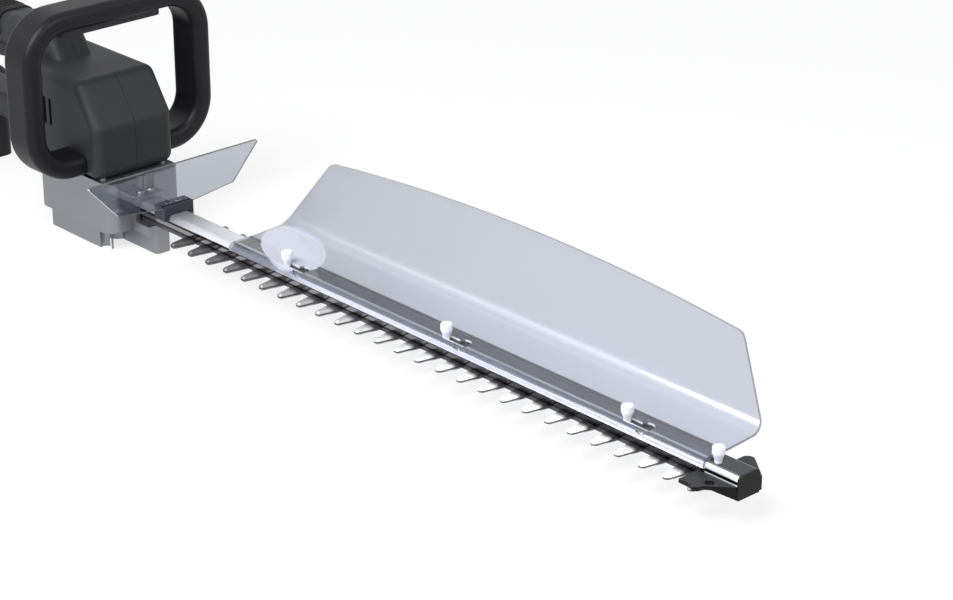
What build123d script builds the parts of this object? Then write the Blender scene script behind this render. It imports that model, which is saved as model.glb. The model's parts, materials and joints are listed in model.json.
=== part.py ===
from build123d import *
import math
import os

os.makedirs("parts", exist_ok=True)

# Cordless hedge trimmer, millimetres. +X runs along the bar to its tip, +Z is up, the floor is z = 0.
# The drive gear turns about the Z axis through the origin.

# Clearances
SLIDE_FIT = 0.3
RUNNING_FIT = 0.04
BLADE_FILM = 0.1
SEAT_FIT = 0.1

# Blades
TOOTH_COUNT = 26
TOOTH_PITCH = 21.0
TOOTH_LENGTH = 19.0
TOOTH_ROOT_WIDTH = 12.0
TOOTH_TIP_WIDTH = 6.0
TOOTH_LAND = 0.6
TOOTH_BEVEL = 45.0
TOOTH_ROOT_DEPTH = 3.0
SPINE_WIDTH = 14.8
BLADE_THICKNESS = 2.0
BLADE_END = 7.0
FIRST_TOOTH_X = 104.0
BLADE_TRAVEL = 5.25
YOKE_WALL = 4.5

# Guide bar
BAR_WIDTH = 19.0
BAR_HEIGHT = 10.3
BAR_EDGE_RADIUS = 3.5
BAR_ROOF = 4.0
BAR_LEG = 4.0
BAR_TAIL = 24.0
BOLT_COUNT = 5
BOLT_FIRST = 42.0
BOLT_PITCH = 105.0
BOLT_RADIUS = 2.0
BOLT_HEAD_RADIUS = 5.0
BOLT_HEAD_HEIGHT = 1.9
BOLT_COVER = 1.2
SPACER_RADIUS = 3.2

# Drive
ECCENTRICITY = 5.25
SHAFT_RADIUS = 4.0
CAM_WALL = 1.25
GEAR_MODULE = 1.0
GEAR_TEETH = 48
PINION_TEETH = 12
PRESSURE_ANGLE = 25.0
ADDENDUM = 0.75
DEDENDUM = 1.0
BACKLASH = 0.16
FLANK_STEPS = 4
GEAR_WIDTH = 8.0
GEAR_LIFT = 4.9
GEAR_ROOM = 1.5
GEAR_HEADROOM = 4.0
WEB_RADIUS = 19.0
WEB_RECESS = 2.0
HUB_RADIUS = 9.0
BEARING_RADIUS = 11.0
BEARING_WIDTH = 7.0
BEARING_RACE = 2.6
BEARING_GROOVE = 0.8
CIRCLIP_THICKNESS = 1.0
CIRCLIP_WIDTH = 2.0

# Gear case and base
SKID_HEIGHT = 16.0
SKID_WIDTH = 7.0
SKID_INSET = 4.0
BASE_PLATE = 7.7
BASE_BOSS_RADIUS = 16.0
CASE_BACK = 58.0
CASE_FRONT = 36.0
CASE_HALF_WIDTH = 34.0
CASE_CORNER = 10.0
CASE_ROOF = 4.0
CASE_WALL = 3.5
NOSE_FRONT = 42.0
NOSE_HALF_WIDTH = 13.3
NOSE_ROOF = 4.0
TOE_FRONT = 58.0
CASE_SCREW_RADIUS = 2.5
CASE_SCREW_INSET = 6.5
CASE_SCREW_GRIP = 10.0
BAR_SCREW_SPREAD = 4.6
BAR_SCREW_DEPTH = 3.0

# Motor
CAN_RADIUS = 22.0
CAN_WALL = 1.5
CAN_LENGTH = 56.0
CAN_FLOOR = 2.5
END_CAP_HEIGHT = 8.0
MAGNET_THICKNESS = 2.5
MAGNET_LENGTH = 36.0
MAGNET_ARC = 120.0
AIR_GAP = 0.6
ARMATURE_LENGTH = 32.0
ARMATURE_SLOTS = 10
SLOT_WIDTH = 2.4
SLOT_DEPTH = 7.0
ARMATURE_LIFT = 14.0
FAN_RADIUS = 15.0
FAN_HEIGHT = 6.0
FAN_BLADES = 9
FAN_BLADE_THICKNESS = 1.2
FAN_LIFT = 2.0
FAN_RIM = 1.0
MOTOR_SHAFT_RADIUS = 2.5
COMMUTATOR_RADIUS = 6.0
COMMUTATOR_LENGTH = 8.0
BRUSH_WIDTH = 4.0
MOTOR_SCREW_RADIUS = 2.0
MOTOR_SCREW_SPREAD = 14.0

# Front loop handle
LOOP_FRONT = 15.0
LOOP_DEPTH = 32.0
LOOP_HALF_WIDTH = 84.5
LOOP_BOTTOM = 59.0
LOOP_HEIGHT = 130.0
LOOP_BAR = 16.0
LOOP_CORNER = 38.0
LOOP_EDGE = 6.0
LOOP_WALL = 2.5
LEVER_HALF_LENGTH = 46.0
LEVER_WIDTH = 14.0
LEVER_FLANGE = 3.0
LEVER_FLANGE_HEIGHT = 2.5
LEVER_LEDGE = 2.0
LEVER_TRAVEL = 4.0
LEVER_SPRING_SPREAD = 30.0
LEVER_SPRING_RADIUS = 3.0
SPRING_WALL = 0.8
LOOP_SCREW_RADIUS = 1.8
LOOP_POST_RADIUS = 4.0
LOOP_POST_PITCH = 32.0

# Housing
WALL = 3.0
BODY_BACK = 84.0
BODY_FRONT = 28.0
BODY_TOP = 130.0
BODY_HALF_WIDTH = 36.0
BODY_EDGE = 8.0
GRIP_BOTTOM = 122.0
GRIP_HEIGHT = 28.0
GRIP_HALF_WIDTH = 16.0
GRIP_EDGE = 9.0
BEAM_BOTTOM = 62.0
BEAM_HEIGHT = 20.0
BEAM_HALF_WIDTH = 18.0
COLUMN_BACK = 314.0
COLUMN_DEPTH = 50.0
COLUMN_STEP = 4.0
COLUMN_HALF_WIDTH = 21.0
NECK_OVERLAP = 46.0
NECK_LENGTH = 36.0
NECK_DROP = 22.0
NECK_COLLAR = 1.5
BODY_SLOPE_DROP = 32.0
BODY_SLOPE_RUN = 22.0
EDGE_STEP = 1.0
FOOT_EDGE = 7.0
FOOT_GAP = 2.5
FOOT_HEIGHT = 22.0
HOUSING_SCREW_RADIUS = 2.0
HOUSING_BOSS_RADIUS = 4.2
CASE_BOSS_RADIUS = 5.2
BODY_SCREW_RISE = 26.0
BODY_SCREW_DROP = 12.0
GRIP_SCREW_GAP = 25.0
BEAM_SCREW_GAP = 50.0
SPIGOT_LENGTH = 10.0
HEAD_RADIUS = 3.5
HEAD_HEIGHT = 3.0
VENT_COUNT = 6
VENT_PITCH = 7.0
VENT_WIDTH = 3.2
VENT_HEIGHT = 22.0
VENT_FIRST_X = -66.0
VENT_MID_Z = 98.0
GRIP_PAD_THICKNESS = 1.2
GRIP_PAD_LENGTH = 130.0
GRIP_PAD_FRONT = 125.0
GRIP_PAD_HEIGHT = 17.0

# Trigger and switches
TRIGGER_PIVOT_X = -132.0
TRIGGER_PIVOT_DEPTH = 6.0
TRIGGER_HALF_WIDTH = 7.0
TRIGGER_LENGTH = 38.0
TRIGGER_DROP = 13.0
TRIGGER_EDGE = 1.8
TRIGGER_HEEL = 5.0
TRIGGER_HUB = 7.0
TRIGGER_HUB_RISE = 4.0
TRIGGER_SPRING_INSET = 4.0
TRIGGER_SPRING_GAP = 1.0
PIN_RADIUS = 2.0
PIN_BOSS_RADIUS = 4.5
TRIGGER_SLOT_ROOM = 3.0
SWITCH_LENGTH = 20.0
SWITCH_WIDTH = 10.0
SWITCH_HEIGHT = 11.0
SWITCH_GAP = 2.0
BOARD_GAP = 14.0
BOARD_HEIGHT = 43.0
CHIP_COUNT = 3
CHIP_PITCH = 16.0
CHIP_WIDTH = 8.0
CHIP_HEIGHT = 18.0
CHIP_THICKNESS = 3.0
CHIP_LIFT = 15.0
BOARD_THICKNESS = 1.6

# Battery
BATTERY_LENGTH = 114.0
BATTERY_HALF_WIDTH = 37.0
BATTERY_HEIGHT = 53.5
TRAY_HEIGHT = 30.0
BATTERY_WALL = 2.5
BATTERY_CORNER = 8.0
CELL_RADIUS = 9.2
CELL_LENGTH = 65.0
CELL_PITCH = 18.9
CELL_ROWS = 2
RAIL_HALF_WIDTH = 24.0
RAIL_NECK = 20.0
RAIL_FLANGE = 3.5
RAIL_LIP = 3.2
RAIL_LINER = 4.0
TERMINAL_DEPTH = 6.0
CONTACT_SPREAD = 8.0
CONTACT_THICKNESS = 1.0
CONTACT_LENGTH = 15.0
CONTACT_LIFT = 1.5
CONTACT_ROOM = 1.0
CONTACT_POST = 3.0
LATCH_HALF_WIDTH = 10.0
LATCH_DEPTH = 8.0
LATCH_PAD = 3.0
LATCH_TRAVEL = 3.0
LATCH_HOOK = 2.5
LATCH_ROOM = 1.0
LATCH_PAD_DROP = 1.0
BUTTON_RADIUS = 4.0
BUTTON_PROUD = 1.5
BUTTON_FLANGE = 1.0
LAMP_COUNT = 3
LAMP_PITCH = 6.0
LAMP_RADIUS = 1.5
BATTERY_SCREW_RADIUS = 1.6
BATTERY_HEAD_RADIUS = 2.7

# Tip guard
CAP_PLATE = 1.2
CAP_DROP = 2.1
WING_THICKNESS = 2.7
WING_REACH = 29.0
WING_BACK = 8.0
BARB_X = 5.0
BARB_DEPTH = 1.8
BARB_BACK_RUN = 5.0
BARB_FRONT_RUN = 3.0
WING_STEP_X = 1.0
WING_STEP_Y = 4.0
WING_HEEL_X = 8.0
WING_HEEL_Y = 7.5
HANG_HOLE_RADIUS = 3.2
HANG_HOLE_BACK = 15.5
HANG_HOLE_OUT = 8.0
EAR_REACH = 28.1
EAR_RADIUS = 4.5
EAR_FORWARD = 2.5
EAR_SLOPE = 54.0
EAR_TOE = 3.5

# Hand guard and bracket
GUARD_THICKNESS = 2.5
GUARD_X = 76.0
GUARD_TOP = 77.0
GUARD_HALF_WIDTH = 78.6
GUARD_SHOULDER = 53.0
GUARD_SHOULDER_Z = 48.8
GUARD_HEEL = 15.0
GUARD_HEEL_Z = 44.2
GUARD_CORNER = 1.0
BRACKET_HALF_WIDTH = 13.3
BRACKET_TOP = 45.8
BRACKET_DROP = 4.0
BRACKET_DEPTH = 13.0
BRACKET_LIP = 2.0
BRACKET_SCREW_SPREAD = 4.5

# Clippings collector and its pegs
SHEET_THICKNESS = 1.5
SHEET_LIFT = 0.2
SHEET_LIP = 5.0
SHEET_START = 154.0
SHEET_TIP_GAP = 27.0
SHEET_FLAT = 12.0
SHEET_RISE = 3.5
FOLD_Y = 42.6
FOLD_RADIUS = 12.0
PANEL_ANGLE = 72.0
PANEL_TOP = 93.0
PANEL_ARCH = 9.5
PANEL_TAPER = 34.0
PANEL_CORNER = 9.0
SHEET_END_RADIUS = 25.0
PEG_FIRST_X = 213.0
PEG_PITCH = 170.5
PEG_COUNT = 3
PEG_END_GAP = 6.0
PEG_Y = -4.0
PEG_NECK_RADIUS = 2.5
PEG_TAPER = 4.5
PEG_HEIGHT = 11.5
PEG_TOP_RADIUS = 4.2
PEG_EDGE = 1.5
PEG_STUD = 3.5
KEYHOLE_RADIUS = 6.2
KEYHOLE_SHIFT = 16.0

# Levels worked out from the sizes above
BASE_TOP = SKID_HEIGHT + BASE_PLATE
LOWER_Z = BASE_TOP + SLIDE_FIT
UPPER_Z = LOWER_Z + BLADE_THICKNESS + BLADE_FILM
BAR_Z = UPPER_Z + BLADE_THICKNESS + BLADE_FILM
BAR_TOP = BAR_Z + BAR_HEIGHT
RECESS_TOP = UPPER_Z + BLADE_THICKNESS + SLIDE_FIT
GEAR_Z = UPPER_Z + BLADE_THICKNESS + GEAR_LIFT
CHAMBER_TOP = GEAR_Z + GEAR_WIDTH + GEAR_HEADROOM
CASE_TOP = CHAMBER_TOP + BEARING_WIDTH + CASE_ROOF
NOSE_TOP = BAR_TOP + NOSE_ROOF

# Places worked out from the sizes above
LAST_TOOTH_X = FIRST_TOOTH_X + (TOOTH_COUNT - 1) * TOOTH_PITCH
BLADE_FRONT = LAST_TOOTH_X + BLADE_END
CAM_RADIUS = ECCENTRICITY + SHAFT_RADIUS + CAM_WALL
WINDOW_HALF_Y = CAM_RADIUS + ECCENTRICITY + SLIDE_FIT
WINDOW_HALF_X = WINDOW_HALF_Y + BLADE_TRAVEL
YOKE_HALF_X = WINDOW_HALF_X + YOKE_WALL
YOKE_HALF_Y = WINDOW_HALF_Y + YOKE_WALL
GEAR_RADIUS = GEAR_MODULE * GEAR_TEETH / 2
PINION_RADIUS = GEAR_MODULE * PINION_TEETH / 2
MOTOR_X = -(GEAR_RADIUS + PINION_RADIUS)
CHAMBER_RADIUS = GEAR_RADIUS + ADDENDUM * GEAR_MODULE + GEAR_ROOM
PINION_ROOM = PINION_RADIUS + ADDENDUM * GEAR_MODULE + GEAR_ROOM
BAR_BACK = CHAMBER_RADIUS + CASE_WALL
BAR_FRONT = LAST_TOOTH_X + BAR_TAIL
SHEET_END = BAR_FRONT - SHEET_TIP_GAP
LOOP_BACK = LOOP_FRONT - LOOP_DEPTH
LOOP_TOP = LOOP_BOTTOM + LOOP_HEIGHT
LOOP_MID_X = LOOP_FRONT - LOOP_DEPTH / 2
LOOP_MID_Z = LOOP_BOTTOM + LOOP_HEIGHT / 2
GRIP_TOP = GRIP_BOTTOM + GRIP_HEIGHT
BEAM_TOP = BEAM_BOTTOM + BEAM_HEIGHT
BATTERY_BACK = -COLUMN_BACK
BATTERY_FRONT = BATTERY_BACK + BATTERY_LENGTH
CELL_ROOM = BATTERY_LENGTH - 2 * (BATTERY_WALL + 4 * BATTERY_SCREW_RADIUS)
CELL_COLUMNS = int((CELL_ROOM + CELL_PITCH - 2 * CELL_RADIUS) // CELL_PITCH)
FOOT_BOTTOM = BATTERY_HEIGHT + FOOT_GAP
CHANNEL_FRONT = BATTERY_FRONT
FOOT_FRONT = -CHANNEL_FRONT - RAIL_LINER
RAIL_TOP = FOOT_BOTTOM + RAIL_LIP + SLIDE_FIT + RAIL_FLANGE


def box(x0, x1, y0, y1, z0, z1):
    """A block between two corners."""
    return Pos((x0 + x1) / 2, (y0 + y1) / 2, (z0 + z1) / 2) * Box(x1 - x0, y1 - y0, z1 - z0)


def post(x, y, z0, z1, radius):
    """A round post along Z."""
    return Pos(x, y, (z0 + z1) / 2) * Cylinder(radius, z1 - z0)


def rod_x(x0, x1, y, z, radius):
    """A round rod along X."""
    return Pos((x0 + x1) / 2, y, z) * Rot(0, 90, 0) * Cylinder(radius, x1 - x0)


def rod_y(x, y0, y1, z, radius):
    """A round rod along Y."""
    return Pos(x, (y0 + y1) / 2, z) * Rot(90, 0, 0) * Cylinder(radius, y1 - y0)


def plan(sketch, z0, z1):
    """A plan-view sketch raised between two levels."""
    return Pos(0, 0, z0) * extrude(sketch, z1 - z0)


def rounded_plan(x0, x1, half_width, z0, z1, radius):
    """A block with rounded upright edges, centred on y = 0."""
    sketch = Pos((x0 + x1) / 2, 0) * RectangleRounded(x1 - x0, 2 * half_width, radius)
    return plan(sketch, z0, z1)


def slot_plan(x0, x1, half_width, z0, z1, y=0.0):
    """A straight slot with round ends along X, as a solid."""
    sketch = Pos((x0 + x1) / 2, y) * SlotOverall(x1 - x0, 2 * half_width)
    return plan(sketch, z0, z1)


def save(node, shape):
    """Write one node's solid or group of solids."""
    export_step(shape, "parts/" + node + ".step")


def group(solids):
    """Separate like pieces kept together in one node."""
    return Compound(children=[Solid(part.solid().wrapped) for part in solids])


# Blades

def tooth(z):
    """The far tooth at x = 0, rooted in the spine: a straight land at the shearing face, then ground flanks."""
    root_y = SPINE_WIDTH / 2 - TOOTH_ROOT_DEPTH
    end_y = SPINE_WIDTH / 2 + TOOTH_LENGTH
    tip = TOOTH_TIP_WIDTH / 2
    shoulder_y = end_y - tip
    flank = (TOOTH_ROOT_WIDTH / 2 - tip) / (TOOTH_LENGTH - tip)
    root = TOOTH_ROOT_WIDTH / 2 + flank * TOOTH_ROOT_DEPTH
    sides = Polyline((-tip, shoulder_y), (-root, root_y), (root, root_y), (tip, shoulder_y))
    end = ThreePointArc((tip, shoulder_y), (0, end_y), (-tip, shoulder_y))
    face = make_face([*sides.edges(), end.edge()])
    land = plan(face, z, z + TOOTH_LAND)
    return land + Pos(0, 0, z + TOOTH_LAND) * extrude(face, BLADE_THICKNESS - TOOTH_LAND, taper=TOOTH_BEVEL)


def bolt_places():
    """Where the guide bolts stand along the bar."""
    return [FIRST_TOOTH_X + BOLT_FIRST + index * BOLT_PITCH for index in range(BOLT_COUNT)]


def blade(z):
    """One reciprocating blade with its yoke window, guide slots and teeth ground back towards the top."""
    face = Pos(BLADE_FRONT / 2, 0) * Rectangle(BLADE_FRONT, SPINE_WIDTH)
    face += SlotOverall(2 * YOKE_HALF_X, 2 * YOKE_HALF_Y)
    face -= SlotOverall(2 * WINDOW_HALF_X, 2 * WINDOW_HALF_Y)
    slot_height = 2 * (SPACER_RADIUS + SLIDE_FIT)
    for x in bolt_places():
        face -= Pos(x, 0) * SlotOverall(slot_height + 2 * BLADE_TRAVEL, slot_height)
    places = [FIRST_TOOTH_X + index * TOOTH_PITCH for index in range(TOOTH_COUNT)]
    far = tooth(z)
    near = Rot(0, 0, 180) * far
    return plan(face, z, z + BLADE_THICKNESS) + [Pos(x, 0, 0) * side for x in places for side in (near, far)]


def lower_blade():
    """The blade under the upper one, turned over so that the two shear along their lands."""
    return mirror(blade(LOWER_Z), Plane.XY.offset(LOWER_Z + BLADE_THICKNESS / 2))


def guide_bar():
    """Channel-shaped bar over the blades, with blind holes for bolts, pegs and screws."""
    half = BAR_WIDTH / 2
    outline = Pos(0, BAR_Z + BAR_HEIGHT / 2) * Rectangle(BAR_WIDTH, BAR_HEIGHT)
    outline = fillet(outline.vertices().group_by(Axis.Y)[-1], BAR_EDGE_RADIUS)
    channel_height = BAR_HEIGHT - BAR_ROOF
    outline -= Pos(0, BAR_Z + channel_height / 2) * Rectangle(2 * (half - BAR_LEG), channel_height)
    bar = Pos(BAR_BACK, 0, 0) * extrude(Plane.YZ * outline, BAR_FRONT - BAR_BACK)
    for x in bolt_places():
        bar -= post(x, 0, BAR_Z, BAR_TOP - BOLT_COVER, BOLT_RADIUS)
    for x in peg_places():
        bar -= post(x, PEG_Y, BAR_TOP - PEG_STUD, BAR_TOP, PEG_NECK_RADIUS)
    for x, y in bar_screw_places() + bracket_screw_places():
        bar -= post(x, y, BAR_TOP - BAR_SCREW_DEPTH, BAR_TOP, BOLT_RADIUS)
    return bar - post(cap_screw_x(), 0, BAR_Z, BAR_TOP - BOLT_COVER, BOLT_RADIUS)


def blade_bolt(x):
    """Shouldered bolt from below the blades into the bar's roof."""
    head_top = LOWER_Z - SLIDE_FIT / 2
    head = post(x, 0, head_top - BOLT_HEAD_HEIGHT, head_top, BOLT_HEAD_RADIUS)
    socket = extrude(RegularPolygon(BOLT_RADIUS, 6), BOLT_HEAD_HEIGHT / 2)
    head -= Pos(x, 0, head_top - BOLT_HEAD_HEIGHT) * socket
    return head + post(x, 0, head_top, BAR_TOP - BOLT_COVER, BOLT_RADIUS)


def blade_spacer(x):
    """Sleeve round a bolt that leaves the blades free to slide."""
    low = LOWER_Z - SLIDE_FIT / 2
    high = BAR_TOP - BAR_ROOF
    return post(x, 0, low, high, SPACER_RADIUS) - post(x, 0, low, high, BOLT_RADIUS)


# Tip guard

def cap_screw_x():
    """Place of the screw that holds the tip guard under the bar's end."""
    return (cap_block_x() + BAR_FRONT) / 2


def cap_block_x():
    """Where the tip guard's block starts, clear of the blades at full travel."""
    return BLADE_FRONT + BLADE_TRAVEL + SLIDE_FIT


def near_wing():
    """Plan of the barbed wing over the last near teeth."""
    root = -BAR_WIDTH / 2
    back = LAST_TOOTH_X - WING_BACK
    barb_x = LAST_TOOTH_X + BARB_X
    notch_x = barb_x + BARB_FRONT_RUN
    notch_y = -(WING_REACH - BARB_DEPTH)
    points = [(back, root), (back, notch_y), (barb_x - BARB_BACK_RUN, notch_y), (barb_x, -WING_REACH)]
    points += [(notch_x, notch_y), (notch_x + WING_STEP_X, notch_y + WING_STEP_Y)]
    points += [(BAR_FRONT - WING_HEEL_X, root - WING_HEEL_Y), (BAR_FRONT, root)]
    return make_face(Polyline(*points, close=True))


def hang_hole():
    """Centre of the hanging hole in the near wing."""
    return BAR_FRONT - HANG_HOLE_BACK, -(BAR_WIDTH / 2 + HANG_HOLE_OUT)


def far_ear():
    """Plan of the rounded wing over the last far teeth."""
    root = BAR_WIDTH / 2
    ear_x = LAST_TOOTH_X + EAR_FORWARD
    ear_y = EAR_REACH - EAR_RADIUS
    face = Pos(ear_x, ear_y) * Circle(EAR_RADIUS)
    slope = math.radians(EAR_SLOPE)
    leave = (ear_x + EAR_RADIUS * math.cos(slope), ear_y + EAR_RADIUS * math.sin(slope))
    points = [(ear_x - EAR_RADIUS, root), (ear_x - EAR_RADIUS, ear_y), leave]
    points += [(BAR_FRONT, root + EAR_TOE), (BAR_FRONT, root)]
    return face + make_face(Polyline(*points, close=True))


def gusset(face, low, top):
    """Web under a wing, past the blades' reach, whose underside slopes down to the cap."""
    block = cap_block_x()
    web = plan(face, low, top) & box(block, BAR_FRONT, -WING_REACH, WING_REACH, low, top)
    slope = make_face(Polyline((block, low), (block, top), (BAR_FRONT, low), close=True))
    return web - extrude(Plane.XZ * slope, 2 * WING_REACH, both=True)


def tip_guard():
    """End cap of the bar with its block under the bar and its two wings over the blades."""
    half = BAR_WIDTH / 2
    low = LOWER_Z - CAP_DROP
    face = Pos(0, (low + BAR_TOP) / 2) * Rectangle(BAR_WIDTH, BAR_TOP - low)
    face = fillet(face.vertices().group_by(Axis.Y)[-1], BAR_EDGE_RADIUS)
    cap = Pos(BAR_FRONT, 0, 0) * extrude(Plane.YZ * face, CAP_PLATE)
    cap += box(cap_block_x(), BAR_FRONT, -half, half, low, BAR_Z)
    wing_z = RECESS_TOP
    room = half + SLIDE_FIT
    bar_room = box(LAST_TOOTH_X - BAR_TAIL, BAR_FRONT, -room, room, BAR_Z, BAR_TOP)
    for face in (near_wing(), far_ear()):
        cap += plan(face, wing_z, wing_z + WING_THICKNESS) + gusset(face, low, wing_z) - bar_room
    hang_x, hang_y = hang_hole()
    cap -= post(hang_x, hang_y, wing_z, wing_z + WING_THICKNESS, HANG_HOLE_RADIUS)
    screw = cap_screw_x()
    cap -= post(screw, 0, low, BAR_Z, BOLT_RADIUS)
    return cap - post(screw, 0, low, low + HEAD_HEIGHT, HEAD_RADIUS)


def tip_guard_screw():
    """Screw up through the tip guard's block into the bar."""
    low = LOWER_Z - CAP_DROP
    x = cap_screw_x()
    head = post(x, 0, low, low + HEAD_HEIGHT, HEAD_RADIUS)
    return head + post(x, 0, low, BAR_TOP - BOLT_COVER, BOLT_RADIUS)


# Clippings collector

def peg_places():
    """The pegs stand along the bar, the last one just past the sheet's end."""
    places = [PEG_FIRST_X + index * PEG_PITCH for index in range(PEG_COUNT)]
    return places + [SHEET_END + PEG_END_GAP]


def collector_peg(x):
    """Round-headed peg that tapers to its neck and is screwed into the bar."""
    neck_top = BAR_TOP + SHEET_LIFT + SHEET_THICKNESS + SLIDE_FIT
    shoulder = neck_top + PEG_TAPER
    head = post(x, PEG_Y, shoulder, BAR_TOP + PEG_HEIGHT, PEG_TOP_RADIUS)
    head = fillet(head.edges().group_by(Axis.Z)[-1], PEG_EDGE)
    head += Pos(x, PEG_Y, shoulder - PEG_TAPER / 2) * Cone(PEG_NECK_RADIUS, PEG_TOP_RADIUS, PEG_TAPER)
    return head + post(x, PEG_Y, BAR_TOP - PEG_STUD, neck_top, PEG_NECK_RADIUS)


def sheet_profile():
    """Mid-line of the collector sheet across the bar, drawn in (y, z)."""
    lip_y = -(BAR_WIDTH / 2 + SLIDE_FIT + SHEET_THICKNESS / 2)
    top_z = BAR_TOP + SHEET_LIFT + SHEET_THICKNESS / 2
    fold_z = top_z + (FOLD_Y - SHEET_FLAT) * math.tan(math.radians(SHEET_RISE))
    crest_z = PANEL_TOP + PANEL_ARCH + SHEET_THICKNESS
    crest_y = FOLD_Y + (crest_z - fold_z) / math.tan(math.radians(PANEL_ANGLE))
    lip_radius = BAR_EDGE_RADIUS + SLIDE_FIT + SHEET_THICKNESS / 2
    corners = [(lip_y, top_z - SHEET_LIP), (lip_y, top_z), (SHEET_FLAT, top_z)]
    corners += [(FOLD_Y, fold_z), (crest_y, crest_z)]
    return FilletPolyline(*corners, radius=[lip_radius, FOLD_RADIUS, FOLD_RADIUS])


def sheet_outline():
    """Side view that trims the sheet: straight ends below the fold, slanted above it, arched on top."""
    x0 = SHEET_START
    x1 = SHEET_END
    fold_z = BAR_TOP + SHEET_THICKNESS + (FOLD_Y - SHEET_FLAT) * math.tan(math.radians(SHEET_RISE))
    low = BAR_Z - SHEET_LIP
    left_top = (x0 + PANEL_TAPER, PANEL_TOP)
    right_top = (x1 - PANEL_TAPER, PANEL_TOP)
    sides = Polyline(left_top, (x0, fold_z), (x0, low), (x1, low), (x1, fold_z), right_top)
    crest = ThreePointArc(left_top, ((x0 + x1) / 2, PANEL_TOP + PANEL_ARCH), right_top)
    face = make_face([*sides.edges(), crest.edge()])
    corners = face.vertices().group_by(Axis.Y)
    face = fillet(corners[-1], PANEL_CORNER)
    bends = face.vertices().filter_by(lambda spot: abs(spot.Y - fold_z) < SEAT_FIT)
    return fillet(bends, SHEET_END_RADIUS)


def collector():
    """Clear bent sheet that hooks over the bar's near edge, with a keyhole at each peg."""
    strip = trace(sheet_profile(), line_width=SHEET_THICKNESS)
    sheet = Pos(SHEET_START, 0, 0) * extrude(Plane.YZ * strip, SHEET_END - SHEET_START)
    reach = 2 * (FOLD_Y + PANEL_TOP)
    sheet &= extrude(Plane.XZ * sheet_outline(), reach, both=True)
    low = BAR_TOP - SHEET_THICKNESS
    high = BAR_TOP + 2 * SHEET_THICKNESS
    neck = PEG_NECK_RADIUS + SLIDE_FIT
    for x in peg_places()[:PEG_COUNT]:
        sheet -= slot_plan(x - neck, x + KEYHOLE_SHIFT, neck, low, high, PEG_Y)
        sheet -= post(x + KEYHOLE_SHIFT, PEG_Y, low, high, KEYHOLE_RADIUS)
    return sheet


# Hand guard

def hand_guard():
    """Clear plate across the bar, its heel standing in the bracket's slot."""
    heel = BRACKET_HALF_WIDTH - BRACKET_LIP
    foot = BAR_TOP + 2 * BRACKET_LIP
    right = [(heel, foot), (heel, GUARD_HEEL_Z), (GUARD_HEEL, GUARD_HEEL_Z)]
    right += [(GUARD_SHOULDER, GUARD_SHOULDER_Z), (GUARD_HALF_WIDTH, GUARD_TOP)]
    left = [(-y, z) for y, z in reversed(right)]
    face = make_face(Polyline(*right, *left, close=True))
    face = fillet(face.vertices().group_by(Axis.Y)[-1], GUARD_CORNER)
    return Pos(GUARD_X - GUARD_THICKNESS / 2, 0, 0) * extrude(Plane.YZ * face, GUARD_THICKNESS)


def bracket_front():
    """Front face of the guard bracket."""
    return GUARD_X + GUARD_THICKNESS / 2 + SEAT_FIT + BRACKET_LIP


def bracket_screw_places():
    """Two screws behind the plate, down into the bar."""
    x = (bracket_front() - BRACKET_DEPTH + GUARD_X - GUARD_THICKNESS) / 2
    return [(x, -BRACKET_SCREW_SPREAD), (x, BRACKET_SCREW_SPREAD)]


def guard_bracket():
    """Saddle over the bar with a slot for the plate."""
    front = bracket_front()
    half = BAR_WIDTH / 2 + SEAT_FIT
    saddle = box(front - BRACKET_DEPTH, front, -BRACKET_HALF_WIDTH, BRACKET_HALF_WIDTH,
                 BAR_TOP - BRACKET_DROP, BRACKET_TOP)
    saddle -= box(front - BRACKET_DEPTH, front, -half, half, BAR_Z, BAR_TOP)
    slot = GUARD_THICKNESS / 2 + SEAT_FIT
    heel = BRACKET_HALF_WIDTH - BRACKET_LIP + SEAT_FIT
    saddle -= box(GUARD_X - slot, GUARD_X + slot, -heel, heel, BAR_TOP + 2 * BRACKET_LIP, BRACKET_TOP)
    wide = BRACKET_HALF_WIDTH
    saddle -= box(GUARD_X - slot, GUARD_X + slot, -wide, wide, GUARD_HEEL_Z - SEAT_FIT, BRACKET_TOP)
    for x, y in bracket_screw_places():
        saddle -= post(x, y, BAR_TOP, BRACKET_TOP, BOLT_RADIUS)
        saddle -= post(x, y, BRACKET_TOP - HEAD_HEIGHT, BRACKET_TOP, HEAD_RADIUS)
    return saddle


def down_screw(x, y, head_top, tip):
    """Socket screw with its head up."""
    screw = post(x, y, head_top - HEAD_HEIGHT, head_top, HEAD_RADIUS)
    socket = extrude(RegularPolygon(BOLT_RADIUS, 6), HEAD_HEIGHT / 2)
    screw -= Pos(x, y, head_top - HEAD_HEIGHT / 2) * socket
    return screw + post(x, y, tip, head_top - HEAD_HEIGHT, BOLT_RADIUS)


def bar_screw_places():
    """Two screws through the nose's roof into the bar."""
    x = (BAR_BACK + NOSE_FRONT) / 2
    return [(x, -BAR_SCREW_SPREAD), (x, BAR_SCREW_SPREAD)]


# Drive

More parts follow.
